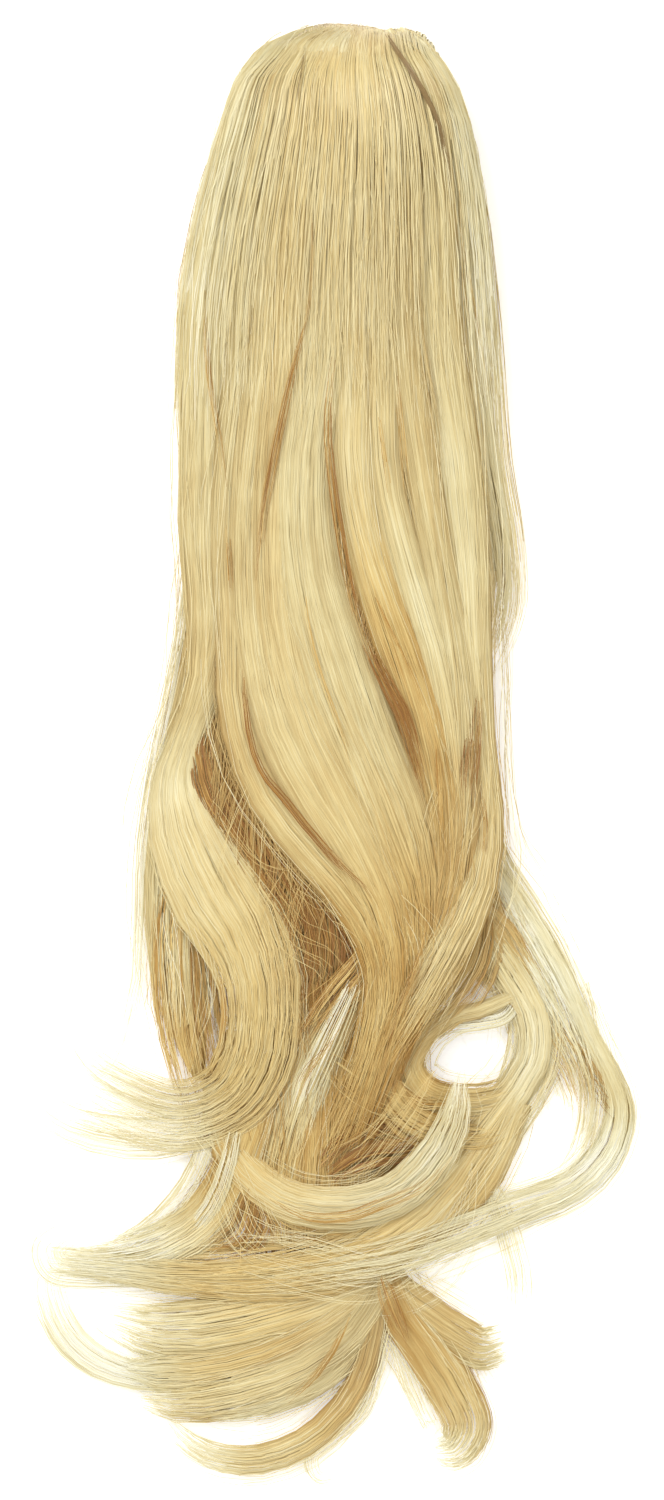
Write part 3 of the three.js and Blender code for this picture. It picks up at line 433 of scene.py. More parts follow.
def smooth_path(spots, stops):
    """Points and tangents of a centripetal Catmull-Rom curve through spots, at stops counted in spots."""
    first, last = 2 * spots[0] - spots[1], 2 * spots[-1] - spots[-2]
    padded = np.vstack((first, spots, last))
    points, tangents = [], []
    for stop in stops:
        span = min(int(stop), len(spots) - 2)
        share = stop - span
        a, b, c, d = padded[span:span + 4]
        before, here, after = (math.sqrt(np.linalg.norm(q - p)) for p, q in ((a, b), (b, c), (c, d)))
        leave = ((b - a) / before - (c - a) / (before + here) + (c - b) / here) * here
        arrive = ((c - b) / here - (d - b) / (here + after) + (d - c) / after) * here
        square, cube = -3 * b + 3 * c - 2 * leave - arrive, 2 * b - 2 * c + leave + arrive
        points.append(b + share * (leave + share * (square + share * cube)))
        tangents.append(leave + share * (2 * square + share * 3 * cube))
    return np.array(points), np.array(tangents)


def lock_plan(lock):
    """The spots of a lock's middle line, and how many of them lead it down from the clip."""
    lead = []
    if "lane" in lock:
        for along in FAN_STATIONS:
            left, right, _ = heap_at(along)
            lead.append((left + (right - left) * (lock["lane"] * ROOT_SPREAD + 1) / 2, along))
    plan = lead + [spot[:2] for spot in lock["route"]]
    rest = LOCK_THICKNESS * lock["thick"] / 2
    spots = []
    for count, (across, along) in enumerate(plan):
        level = np.interp(count, (0, len(plan) - 1), lock["level"])
        lift = max(rest, level * heap_height(across, along) - rest * level)
        spots.append(place(across, along, lift))
    return np.array(spots), len(lead)


def lock_widths(lock, shares, lead):
    """Half the width and half the thickness of a lock. A route may give its own widths, spot by spot."""
    root, belly, tip = (share / 100 * HALF_SPREAD for share in lock["width"])
    if len(lock["route"][0]) == 3:
        own = np.array([spot[2] for spot in lock["route"]]) / 100 * HALF_SPREAD
        own = np.concatenate((np.linspace(root, own[0], lead + 1)[:lead], own))
        width = np.interp(shares, np.linspace(0, 1, len(own)), own)
    else:
        swell = np.sin(np.pi * np.clip(shares, 0, 1) ** 1.2).clip(0) ** 0.6
        width = (root + (tip - root) * shares) * (1 - swell) + belly * swell
    filled = TIP_THICKNESS + (1 - TIP_THICKNESS) * np.minimum(1, width / belly)
    return width / 2, LOCK_THICKNESS * lock["thick"] * filled / 2


def even_stops(spots, longest, sharpest):
    """Stops along a path, closer together where it bends. longest is in metres and sharpest in radians."""
    fine = np.linspace(0, len(spots) - 1, 24 * (len(spots) - 1) + 1)
    points, tangents = smooth_path(spots, fine)
    tangents /= np.linalg.norm(tangents, axis=1, keepdims=True)
    steps = np.linalg.norm(np.diff(points, axis=0), axis=1)
    bends = np.arccos(np.clip(np.sum(tangents[1:] * tangents[:-1], axis=1), -1, 1))
    effort = np.concatenate(([0], np.cumsum(np.maximum(steps / longest, bends / sharpest))))
    count = max(4, math.ceil(effort[-1]))
    return np.interp(np.linspace(0, effort[-1], count + 1), effort, fine)


def lock_rings(lock, longest, sharpest):
    """What a lock's body and its strands need at each ring: its middle, its side and its half sizes."""
    spots, lead = lock_plan(lock)
    stops = even_stops(spots, longest, sharpest)
    middle, ahead = smooth_path(spots, stops)
    shares = stops / (len(spots) - 1)
    half_width, half_thick = lock_widths(lock, shares, lead)
    if lead:
        half_width *= np.interp(np.linalg.norm(middle - middle[0], axis=1), (0, ROOT_TAPER), (0.4, 1))
    ahead[:, 2] = 0.0
    ahead /= np.linalg.norm(ahead, axis=1, keepdims=True)
    side = np.column_stack((ahead[:, 1], -ahead[:, 0], np.zeros(len(ahead))))
    return dict(middle=middle, side=side, half_width=half_width, half_thick=half_thick, share=shares,
                run=lengths_along(middle) * RUN_SCALE, lead=lead)


def new_object(name, mesh):
    made = bpy.data.objects.new(name, mesh)
    bpy.context.scene.collection.objects.link(made)
    return made


def float_attribute(mesh, name, values):
    data = mesh.attributes.new(name, "FLOAT", "POINT").data
    data.foreach_set("value", np.asarray(values, dtype=np.float32))


def vector_attribute(mesh, name, values):
    data = mesh.attributes.new(name, "FLOAT_VECTOR", "POINT").data
    data.foreach_set("vector", np.asarray(values, dtype=np.float32).ravel())


def integer_attribute(mesh, name, values):
    data = mesh.attributes.new(name, "INT", "POINT").data
    data.foreach_set("value", np.asarray(values, dtype=np.int32))


class NodeSketch:
    """A short way to write a node tree: each call adds a node, sets what it is given and links it."""

    def __init__(self, tree):
        self.tree = tree

    def add(self, kind, inputs=(), **settings):
        node = self.tree.nodes.new(kind)
        for key, value in settings.items():
            setattr(node, key, value)
        for key, value in dict(inputs).items():
            socket = node.inputs[key]
            if isinstance(value, bpy.types.NodeSocket):
                self.tree.links.new(value, socket)
            else:
                socket.default_value = value
        return node

    def maths(self, operation, *values):
        return self.add("ShaderNodeMath", enumerate(values), operation=operation).outputs[0]

    def vector(self, operation, *values):
        return self.add("ShaderNodeVectorMath", enumerate(values), operation=operation).outputs[0]

    def scaled(self, vector, scale):
        return self.add("ShaderNodeVectorMath", {0: vector, "Scale": scale}, operation="SCALE").outputs[0]


class GeometrySketch(NodeSketch):
    """A geometry node tree with named inputs."""

    def __init__(self, name, inputs):
        super().__init__(bpy.data.node_groups.new(name, "GeometryNodeTree"))
        face = self.tree.interface
        face.new_socket("Geometry", in_out="INPUT", socket_type="NodeSocketGeometry")
        for label, kind, value in inputs:
            face.new_socket(label, in_out="INPUT", socket_type=kind).default_value = value
        face.new_socket("Geometry", in_out="OUTPUT", socket_type="NodeSocketGeometry")
        self.given = self.tree.nodes.new("NodeGroupInput").outputs

    def named(self, name, kind="FLOAT"):
        return self.add("GeometryNodeInputNamedAttribute", {"Name": name}, data_type=kind).outputs[0]

    def chance(self, low, high, item, seed):
        """A random number for each item, from low to high."""
        node = self.add("FunctionNodeRandomValue", data_type="FLOAT")
        for key, value in (("Min", low), ("Max", high), ("ID", item), ("Seed", seed)):
            socket = next(s for s in node.inputs if s.name == key and s.enabled)
            if isinstance(value, bpy.types.NodeSocket):
                self.tree.links.new(value, socket)
            else:
                socket.default_value = value
        return next(s for s in node.outputs if s.enabled)

    def store(self, geometry, name, value, domain, kind="FLOAT"):
        given = {"Geometry": geometry, "Name": name, "Value": value}
        return self.add("GeometryNodeStoreNamedAttribute", given, domain=domain, data_type=kind).outputs[0]

    def finish(self, geometry, material):
        realized = self.add("GeometryNodeRealizeInstances", {"Geometry": geometry}).outputs[0]
        coloured = {"Geometry": realized, "Material": material}
        painted = self.add("GeometryNodeSetMaterial", coloured).outputs[0]
        self.tree.links.new(painted, self.tree.nodes.new("NodeGroupOutput").inputs[0])
        return self.tree


def strand_tree(material):
    """Fine flat strands that fill each guide's section, drift across it together and gather at the tips.

    A guide's section is a dome: half_width to each side of its middle line and half_thick above it.
    """
    tree = GeometrySketch("combed_strands", [
        ("Half width", "NodeSocketFloat", STRAND_HALF_WIDTH),
        ("Frizz", "NodeSocketFloat", 0.0009),
        ("Wide drift", "NodeSocketFloat", 0.5),
        ("Fine drift", "NodeSocketFloat", 0.16),
        ("Stray share", "NodeSocketFloat", 0.05),
        ("Shortest", "NodeSocketFloat", 0.7),
        ("Gather", "NodeSocketFloat", 0.6),
        ("Tone spread", "NodeSocketFloat", 0.1),
        ("Seed", "NodeSocketInt", 1),
    ])
    given, seed = tree.given, tree.given["Seed"]

    def add(*values):
        return tree.maths("ADD", *values)

    def times(*values):
        return tree.maths("MULTIPLY", *values)

    def minus(*values):
        return tree.maths("SUBTRACT", *values)

    guides = tree.add("GeometryNodeMeshToCurve", {"Mesh": given["Geometry"]}).outputs[0]
    amount = {"Geometry": guides, "Amount": tree.named("strands", "INT")}
    copies = tree.add("GeometryNodeDuplicateElements", amount, domain="SPLINE").outputs[0]
    copies = tree.store(copies, "strand", tree.add("GeometryNodeInputIndex").outputs[0], "CURVE", "INT")
    strand, along, guide = tree.named("strand", "INT"), tree.named("share"), tree.named("guide")

    def pick(low, high, shift):
        return tree.chance(low, high, strand, add(seed, shift))

    def waves(x, y, detail=1.0):
        """Smooth noise from about -0.5 to 0.5, the same for equal x, y and guide."""
        spot = tree.add("ShaderNodeCombineXYZ", {0: x, 1: y, 2: times(guide, 7.3)}).outputs[0]
        noise = tree.add("ShaderNodeTexNoise", {"Vector": spot, "Scale": 1.0, "Detail": detail}).outputs[0]
        return minus(noise, 0.5)

    combed = pick(-1.0, 1.0, 11)
    run = tree.named("run")
    wide = times(waves(times(run, 0.7), times(combed, 1.6)), given["Wide drift"])
    fine = times(waves(times(run, 1.6), times(combed, 7.0)), given["Fine drift"])
    drifted = add(combed, times(add(wide, fine), tree.named("loose")))
    tips = tree.add("ShaderNodeMapRange", {"Value": along, "From Min": 0.5, "From Max": 1.0},
                    interpolation_type="SMOOTHSTEP").outputs[0]
    tails = tree.named("tails")
    tail = tree.maths("DIVIDE", add(tree.maths("FLOOR", times(drifted, tails)), 0.5), tails)
    gather = times(times(tips, given["Gather"]), tree.named("gathers"))
    gathered = add(times(drifted, minus(1.0, gather)), times(tail, gather))
    stray = tree.maths("LESS_THAN", pick(0, 1, 15), given["Stray share"])
    outward = add(1.0, times(stray, times(pick(0.0, 0.35, 21), tree.named("airy"))))
    lone = times(waves(times(run, 1.3), times(strand, 5.1)), times(tree.named("loose"), 0.22))
    across = add(times(gathered, outward), lone)
    inside = tree.add("ShaderNodeClamp", {0: across, 1: -1.0, 2: 1.0}).outputs[0]
    dome = tree.maths("SQRT", tree.maths("MAXIMUM", minus(1.0, tree.maths(
        "POWER", tree.maths("ABSOLUTE", inside), tree.named("power"))), 0.0))
    below = tree.maths("LESS_THAN", pick(0, 1, 13), tree.named("deep"))
    depth = tree.maths("POWER", pick(0, 1, 14), 1.7)
    top = minus(1.0, times(depth, tree.named("shag")))
    layer = add(times(minus(1.0, below), top), times(below, minus(0.2, depth)))
    rough = add(layer, times(waves(times(run, 1.2), times(combed, 4.0)), tree.named("shag")))
    upward = times(times(dome, rough), tree.named("half_thick"))
    spot = tree.add("ShaderNodeCombineXYZ", {0: times(run, 3.0), 1: times(strand, 3.7)}).outputs[0]
    quick = tree.add("ShaderNodeTexNoise", {"Vector": spot, "Scale": 1.0, "Detail": 1.0}).outputs["Color"]
    swing = times(times(given["Frizz"], add(1.0, times(stray, 4.0))), add(0.5, times(tips, 2.2)))
    jitter = tree.scaled(tree.vector("SUBTRACT", quick, (0.5, 0.5, 0.42)), times(swing, 2.0))
    sideways = tree.scaled(tree.named("side", "FLOAT_VECTOR"), times(across, tree.named("half_width")))
    risen = tree.add("ShaderNodeCombineXYZ", {2: upward}).outputs[0]
    here = tree.add("GeometryNodeInputPosition").outputs[0]
    parts = tree.add("ShaderNodeSeparateXYZ", {0: tree.vector("ADD", here, tree.vector(
        "ADD", jitter, tree.vector("ADD", sideways, risen)))}).outputs
    floored = tree.maths("MAXIMUM", parts[2], given["Half width"])
    laid = tree.add("ShaderNodeCombineXYZ", {0: parts[0], 1: parts[1], 2: floored}).outputs[0]
    moved = tree.add("GeometryNodeSetPosition", {"Geometry": copies, "Position": laid}).outputs[0]
    streak = waves(times(run, 0.6), times(combed, 9.0), 2.0)
    tone = add(add(tree.named("tone"), times(streak, tree.named("streaky"))),
               times(pick(-1, 1, 17), given["Tone spread"]))
    # Painted shade: the low strands are darker, and so are the strands towards a section's edges (paler where
    # a guide's edge habit is negative), less so towards the tips.
    towards_edge = tree.maths("POWER", tree.maths("ABSOLUTE", inside), 3.0)
    shade = add(times(below, 0.25), times(towards_edge, tree.named("edge")))
    tone = minus(tone, times(shade, minus(1.0, times(tips, tree.named("shade_fade")))))
    moved = tree.store(moved, "tone", tone, "POINT")
    cut = tree.maths("POWER", pick(0, 1, 18), tree.named("early"))
    finish = minus(1.0, times(minus(1.0, given["Shortest"]), cut))
    begin = times(pick(0, 1, 19), tree.named("late"))
    trimmed = tree.add("GeometryNodeTrimCurve", {"Curve": moved, "Start": begin, "End": finish}).outputs[0]
    rolled = tree.add("GeometryNodeSetCurveNormal", {"Curve": trimmed}, mode="Z_UP").outputs[0]
    roll = add(pick(-0.25, 0.25, 22), times(waves(times(run, 1.4), times(strand, 1.9)), 0.6))
    rolled = tree.add("GeometryNodeSetCurveTilt", {"Curve": rolled, "Tilt": roll}).outputs[0]
    slim = minus(1.0, times(tree.maths("POWER", along, 4.0), 0.65))
    breadth = times(times(given["Half width"], pick(0.6, 1.3, 20)), times(slim, tree.named("slender")))
    breadth = times(breadth, minus(1.0, times(stray, 0.4)))
    ribbon = tree.add("GeometryNodeCurvePrimitiveLine", {"Start": (-1.0, 0.0, 0.0), "End": (1.0, 0.0, 0.0)})
    strands = tree.add("GeometryNodeCurveToMesh", {"Curve": rolled, "Profile Curve": ribbon.outputs[0],
                                                   "Scale": breadth}).outputs[0]
    return tree.finish(strands, material)


# How the strands of a guide behave unless it says otherwise: the power of its domed section, how many tails
# it ends in and how firmly they gather, the share of strands that lie low and are painted darker as shade,
# how loosely they drift and stand off, how streaked they are, the share of the length within which they
# start, how much darker the edges are painted as shade, how deep their layer is as a share of the section's
# height, how evenly their ends are spread, how wide they are, and how far that painted shade of the low
# strands and of the edges fades towards the tips.
GUIDE_HABITS = dict(power=2.0, tails=2.0, gathers=1.0, deep=0.14, loose=1.0, airy=1.0, streaky=0.4,
                    late=0.02, edge=0.22, shag=0.2, early=1.0, slender=1.0, shade_fade=1.0)
KEPT_LAYERS = ("tone", "gold", "position", ".edge_verts", ".corner_vert", ".corner_edge", "material_index")


def grow_strands(name, guides, tree, **sizes):
    """Joins the guides as polylines, grows strands on them and leaves one plain mesh."""
    points = np.vstack([guide["middle"] for guide in guides])
    edges, start = [], 0
    for guide in guides:
        count = len(guide["middle"])
        edges += [(start + step, start + step + 1) for step in range(count - 1)]
        start += count
    mesh = bpy.data.meshes.new(name + "_guides")
    mesh.from_pydata(points, edges, [])
    for key in ("half_width", "half_thick", "share", "run", "tone", "gold", *GUIDE_HABITS, "guide"):
        float_attribute(mesh, key, np.concatenate([np.broadcast_to(guide[key], len(guide["middle"]))
                                                   for guide in guides]))
    integer_attribute(mesh, "strands", np.concatenate([np.full(len(guide["middle"]), guide["strands"])
                                                       for guide in guides]))
    vector_attribute(mesh, "side", np.vstack([guide["side"] for guide in guides]))
    holder = new_object(name + "_guides", mesh)
    modifier = holder.modifiers.new("strands", "NODES")
    modifier.node_group = tree
    for item in tree.interface.items_tree:
        if item.in_out == "INPUT" and item.name in sizes:
            modifier[item.identifier] = sizes[item.name]
    graph = bpy.context.evaluated_depsgraph_get()
    made = bpy.data.meshes.new_from_object(holder.evaluated_get(graph), preserve_all_data_layers=True,
                                           depsgraph=graph)
    holder.modifiers.remove(modifier)
    bpy.data.objects.remove(holder)
    made.name = name
    for spare in [layer.name for layer in made.attributes if layer.name not in KEPT_LAYERS]:
        if not made.attributes[spare].is_required:
            made.attributes.remove(made.attributes[spare])
    made.shade_smooth()
    return new_object(name, made)


# The bodies under the strands: their sides, their combed ridges, how slim they are beside their strands, and
# how they taper to a share of their size at their ends.
BODY_SIDES = 16
BODY_RIDGES = 7
RIDGE_DEPTH = 0.09
BODY_BREADTH, BODY_RISE = 0.93, 0.86
BODY_TAPER, BODY_POINT = 0.25, 0.06
CORE_SIDES = 25
CORE_BREADTH, CORE_RISE = 0.98, 0.97
TABLE_GAP = 0.0002


def body_rows(rings, solid, ridges, seed):
    """The points of a combed lock, ring by ring, slimmer than its strands so that they lie on it."""
    turn = np.arange(BODY_SIDES) / BODY_SIDES * 2 * np.pi
    wave = 1 - RIDGE_DEPTH * (0.5 + 0.5 * np.cos(ridges * turn + seed))
    across = np.cos(turn) * BODY_BREADTH
    upward = np.sin(turn) * BODY_RISE * wave
    first, last = solid
    start = 1 if first == 0 else np.clip((rings["share"] - first) / BODY_TAPER, BODY_POINT, 1)
    tapering = (start * np.clip((last - rings["share"]) / BODY_TAPER, BODY_POINT, 1))[:, None] ** 0.6
    reach = across * rings["half_width"][:, None] * tapering
    rows = rings["middle"][:, None] + rings["side"][:, None] * reach[..., None]
    rows[..., 2] = np.maximum(rows[..., 2] + upward * rings["half_thick"][:, None] * tapering, TABLE_GAP)
    return rows


def core_rows(core):
    """The points of a weft's solid middle: flat on the table and domed above."""
    inner = [row for row in HEAP[:, 0] if core["start"] < row < core["end"]]
    known = np.array([core["start"], *inner, core["end"]])
    steps = np.linspace(0, len(known) - 1, 4 * (len(known) - 1) + 1)
    stations = np.interp(steps, np.arange(len(known)), known)
    around = -np.cos(np.linspace(0, np.pi, CORE_SIDES))
    rows = []
    for along in stations:
        left, right, height = heap_at(along)
        thinned = np.clip((along - core["thin"]) / (core["end"] - core["thin"]), 0, 1)
        thinned = thinned * thinned * (3 - 2 * thinned)
        rise = height * np.interp(thinned, (0, 1), core["height"]) * CORE_RISE
        half = (right - left) / 2 * np.interp(thinned, (0, 1), core["width"]) * CORE_BREADTH
        rows.append([place((left + right) / 2 + across * half, along,
                           max(TABLE_GAP, rise * float(dome_share(across)))) for across in around])
    return np.array(rows)


def skin(name, blocks, material):
    """One mesh of closed tubes, each a block of rings, with its tone, its gold and its comb map."""
    points, faces, tones, golds, combs = [], [], [], [], []
    start = 0
    for rows, tone, gold in blocks:
        rings, sides = rows.shape[:2]
        ring, side = np.meshgrid(np.arange(rings - 1), np.arange(sides), indexing="ij")
        a, b = start + ring * sides + side, start + ring * sides + (side + 1) % sides
        faces += np.column_stack((a.ravel(), (a + sides).ravel(), (b + sides).ravel(), b.ravel())).tolist()
        faces.append(list(range(start, start + sides)))
        faces.append(list(range(start + (rings - 1) * sides, start + rings * sides))[::-1])
        points.append(rows.reshape(-1, 3))
        tones.append(np.broadcast_to(tone, (rings, sides)).ravel())
        golds.append(np.broadcast_to(gold, (rings, sides)).ravel())
        lengths, girth = lengths_along(rows.mean(axis=1)), lengths_along(rows[rings // 2])
        comb = np.zeros((rings, sides, 3))
        comb[..., 0], comb[..., 1], comb[..., 2] = girth[None, :], lengths[:, None], len(tones)
        combs.append(comb.reshape(-1, 3))
        start += rings * sides
    mesh = bpy.data.meshes.new(name)
    mesh.from_pydata(np.vstack(points), [], faces)
    float_attribute(mesh, "tone", np.concatenate(tones))
    float_attribute(mesh, "gold", np.concatenate(golds))
    vector_attribute(mesh, "comb", np.vstack(combs))
    mesh.materials.append(material)
    mesh.shade_smooth()
    return new_object(name, mesh)


# Linear colours of the hair, from the painted shade of a deep gap to the palest wisps.
ASH_TONES = [(0.0, (0.27, 0.17, 0.06)), (0.3, (0.51, 0.39, 0.16)), (0.6, (0.71, 0.62, 0.33)),
             (0.85, (0.82, 0.77, 0.52)), (1.0, (0.90, 0.88, 0.74))]
HONEY_TONES = [(0.0, (0.28, 0.115, 0.014)), (0.3, (0.48, 0.26, 0.048)), (0.6, (0.69, 0.50, 0.175)),
               (0.85, (0.78, 0.66, 0.33)), (1.0, (0.86, 0.79, 0.54))]


def hair_material(name, streaks):
    """Combed blonde fibre. streaks adds fine lines along the comb map, for the bodies under the strands."""
    material = bpy.data.materials.new(name)
    material.use_nodes = True
    sketch = NodeSketch(material.node_tree)
    shader = material.node_tree.nodes["Principled BSDF"]
    shader.inputs["Roughness"].default_value = 0.42
    shader.inputs["Specular IOR Level"].default_value = 0.45
    shader.inputs["Sheen Weight"].default_value = 0.12
    shader.inputs["Sheen Roughness"].default_value = 0.4
    tone = sketch.add("ShaderNodeAttribute", attribute_name="tone").outputs["Fac"]
    gold = sketch.add("ShaderNodeAttribute", attribute_name="gold").outputs["Fac"]
    if streaks:
        comb = sketch.add("ShaderNodeAttribute", attribute_name="comb").outputs["Vector"]
        stretched = sketch.vector("MULTIPLY", comb, (1.0, 0.035, 13.0))
        fine = {"Vector": stretched, "Scale": 900.0, "Detail": 3.0}
        lines = sketch.add("ShaderNodeTexNoise", fine).outputs[0]
        tone = sketch.maths("ADD", tone, sketch.maths("MULTIPLY", sketch.maths("SUBTRACT", lines, 0.5), 0.9))
        bump = sketch.add("ShaderNodeBump", {"Height": lines, "Strength": 0.5, "Distance": 0.0006})
        material.node_tree.links.new(bump.outputs[0], shader.inputs["Normal"])
    else:
        where = sketch.add("ShaderNodeTexCoord").outputs["Object"]
        soft = {"Vector": where, "Scale": 60.0, "Detail": 2.0}
        patches = sketch.add("ShaderNodeTexNoise", soft).outputs[0]
        patches = sketch.maths("MULTIPLY", sketch.maths("SUBTRACT", patches, 0.5), 0.25)
        tone = sketch.maths("ADD", tone, patches)
    # Of a colour Mix node, inputs 6 and 7 are its two colours, and output 2 is their mix.
    colour = sketch.add("ShaderNodeMix", {"Factor": gold}, data_type="RGBA")
    for socket, tones in ((6, ASH_TONES), (7, HONEY_TONES)):
        ramp = sketch.add("ShaderNodeValToRGB", {0: tone})
        stops = ramp.color_ramp.elements
        stops[0].position, stops[0].color = tones[0][0], (*tones[0][1], 1)
        stops[1].position, stops[1].color = tones[-1][0], (*tones[-1][1], 1)
        for position, shade in tones[1:-1]:
            stops.new(position).color = (*shade, 1)
        material.node_tree.links.new(ramp.outputs[0], colour.inputs[socket])
    material.node_tree.links.new(colour.outputs[2], shader.inputs["Base Color"])
    return material


def clip_material():
    """Smooth moulded plastic, a little cloudy."""
    material = bpy.data.materials.new("clip_plastic")
    material.use_nodes = True
    sketch = NodeSketch(material.node_tree)
    shader = material.node_tree.nodes["Principled BSDF"]
    shader.inputs["Roughness"].default_value = 0.25
    where = sketch.add("ShaderNodeTexCoord").outputs["Object"]
    cloud = sketch.add("ShaderNodeTexNoise", {"Vector": where, "Scale": 90.0, "Detail": 3.0}).outputs[0]
    ramp = sketch.add("ShaderNodeValToRGB", {0: cloud})
    ramp.color_ramp.elements[0].color = (0.40, 0.22, 0.07, 1)
    ramp.color_ramp.elements[1].color = (0.58, 0.36, 0.14, 1)
    material.node_tree.links.new(ramp.outputs[0], shader.inputs["Base Color"])
    return material


strand_hair = hair_material("hair_strands", streaks=False)
body_hair = hair_material("hair_bodies", streaks=True)
strands_tree = strand_tree(strand_hair)


def straight_sides(count):
    return np.tile((1.0, 0.0, 0.0), (count, 1))


def sheet_guide(sheet):
    """A guide whose section is the whole heap, for hair that covers it or lies deep inside it."""
    known = np.array(sheet["rows"], dtype=float)
    stops = np.linspace(0, len(known) - 1, 5 * (len(known) - 1) + 1)
    alongs, rises = (np.interp(stops, np.arange(len(known)), known[:, column]) for column in (0, 1))
    middle, half_width, half_thick = [], [], []
    for along, rise in zip(alongs, rises):
        left, right, height = heap_at(along)
        low, high = (left + (right - left) * (edge + 1) / 2 for edge in sheet["span"])
        middle.append(place((low + high) / 2, along, 0.0006))
        half_width.append((high - low) / 200 * HALF_SPREAD)
        half_thick.append(rise * height)
    middle = np.array(middle)
    return dict(middle=middle, side=straight_sides(len(middle)), half_width=np.array(half_width),
                half_thick=np.array(half_thick), share=stops / stops[-1],
                run=lengths_along(middle) * RUN_SCALE)


guide_count = 0


def dressed(guide, habits):
    """A guide with every habit of its strands filled in, under a number of its own."""
    global guide_count
    guide_count += 1
    return {**guide, **GUIDE_HABITS, **habits, "guide": float(guide_count)}


def along_lock(values, share):
    """A value that changes along a lock, from one number or a few evenly spaced ones."""
    values = np.atleast_1d(values)
    return np.interp(share, np.linspace(0, 1, len(values)), values)


def lock_guide(lock):
    """The strands of one lock, broader than its body where they leave the clip and open at the tip."""
    rings = lock_rings(lock, **GUIDE_RINGS)
    belly = lock["width"][1] / 100 * HALF_SPREAD
    leading = np.interp(rings["share"], *ROOT_SWELLS) if rings["lead"] else 0.0
    open_tip = np.clip((rings["share"] - 0.5) / 0.5, 0, 1) ** 1.5
    wide_tip = np.maximum(rings["half_width"], lock.get("flare", 0) * belly / 2)
    rings["half_width"] = rings["half_width"] * (1 + ROOT_SWELL * leading - open_tip) + wide_tip * open_tip
    rings["half_width"] += LEAST_SPREAD
    rings["half_thick"] = rings["half_thick"] * (LOCK_PUFF + (1 - LOCK_PUFF) * leading)
    tone, gold = (along_lock(lock[key], rings["share"]) for key in ("tone", "gold"))
    habits = {key: float(lock[key]) for key in GUIDE_HABITS if key in lock}
    return dressed(rings, dict(tone=tone, gold=gold, tails=float(max(2, round(belly / TAIL_WIDTH))),
                               strands=round(belly * STRANDS_PER_WIDTH * lock.get("fullness", 1)), **habits))


def halo_guide(lock, share):
    """A few pale loose strands that follow a lock and stray from its outline."""
    rings = lock_rings(lock, **GUIDE_RINGS)
    rings["half_width"] = rings["half_width"] * HALO_BREADTH + HALO_MARGIN
    rings["half_thick"] = rings["half_thick"] * HALO_RISE
    belly = lock["width"][1] / 100 * HALF_SPREAD
    return dressed(rings, dict(strands=round(belly * STRANDS_PER_WIDTH * share), **HALO_HABITS))


def fold_guide(across, along, lane):
    """Hair that comes from under the clip, turns over the fold and lies back over the crown in one lane."""
    spots = [place(across * inward, along + step, rise) for inward, step, rise in FOLD_START]
    reach = FOLD_REACH * (FOLD_EVEN * lane + (1 - FOLD_EVEN) * math.sin(lane * math.pi / 2))
    for station in (along + 0.5, *FOLD_STATIONS):
        left, right, _ = heap_at(station)
        there = left + (right - left) * (reach + 1) / 2
        there = there + (across - there) * max(0, 1 - station / FOLD_EASE)
        rise = FOLD_LIFT * float(heap_height(there, station)) - FOLD_SINK
        spots.append(place(there, station, max(FOLD_LOWEST, rise)))
    spots = np.array(spots)
    stops = even_stops(spots, **FOLD_RINGS)
    middle, _ = smooth_path(spots, stops)
    share = stops / stops[-1]
    under, over, last = FOLD_WIDTHS
    # The tone gains painted light along the lane, where the crown slopes away from the light.
    return dict(middle=middle, side=straight_sides(len(middle)), share=share,
                half_width=np.interp(share, FOLD_TURN, (under, over, last - FOLD_PINCH * lane ** 4)),
                half_thick=np.interp(share, FOLD_TURN, FOLD_DEPTHS), run=lengths_along(middle) * RUN_SCALE,
                tone=np.interp(lane, *FOLD_TONES) + np.interp(share, *FOLD_PAINTED_LIGHT),
                gold=np.interp(lane, *FOLD_GOLDS))


def rim_guide(side, rise):
    """Hair that runs along the foot of the crown on one side, from the end of the fold."""
    spots = []
    for station in RIM_STATIONS:
        left, right, _ = heap_at(station)
        spots.append(place((left + right) / 2 + side * RIM_REACH * (right - left) / 2, station, rise))
    spots = np.array(spots)
    stops = even_stops(spots, **FOLD_RINGS)
    middle, _ = smooth_path(spots, stops)
    return dict(middle=middle, side=straight_sides(len(middle)), half_width=RIM_BREADTH, half_thick=RIM_DEPTH,
                share=stops / stops[-1], run=lengths_along(middle) * RUN_SCALE)


# The longest step in metres and the sharpest turn in radians between the rings of bodies and of guides.
BODY_RINGS = dict(longest=0.006, sharpest=0.14)
GUIDE_RINGS = dict(longest=0.014, sharpest=0.19)
LOOSE_RINGS = dict(longest=0.012, sharpest=0.17)
CROSSING_RINGS = dict(longest=0.008, sharpest=0.17)
FOLD_RINGS = dict(longest=0.012, sharpest=0.25)
# How far the waves of the strands run for each metre along them.
RUN_SCALE = 10
# Strands for each metre of a lock's width, and in metres how broad one tail is and what each half width gets
# more.
STRANDS_PER_WIDTH = 34e3
TAIL_WIDTH = 0.006
LEAST_SPREAD = 0.0003
# How much thicker the layer of strands is than the body, how much broader it gets near the clip, and where.
LOCK_PUFF = 1.25
ROOT_SWELL = 0.55
ROOT_SWELLS = ((0.04, 0.1, 0.25, 0.4), (0, 1, 0.6, 0))
# How the bodies and the cores are coloured beside their strands: the bodies are painted darker, as shade
# under the strands, and the cores are darker along their top and paler at their feet.
BODY_SHADE = 0.06
CORE_GOLD = 0.6
CORE_TONES = ((0.55, 1), (0.3, 0.7))
# The shortest strands, as a share of the length.
SHORTEST = {"over_curls": 0.5, "under_falls": 0.5, "under_fan": 0.4, "over_left": 0.6}
# The top edge of the hair, read from the photograph as across and along in percent.
FOLD_SPOTS = [(-25, 1.7), (-21, 1.15), (-16.5, 1.0), (-12.5, 0.85), (-9, 0.2), (-4, 0.0), (1, 0.05),
              (6, 0.15), (11, 0.4), (15.5, 0.5), (20, 0.35), (24.5, 0.6), (28, 1.3), (30.5, 2.2)]
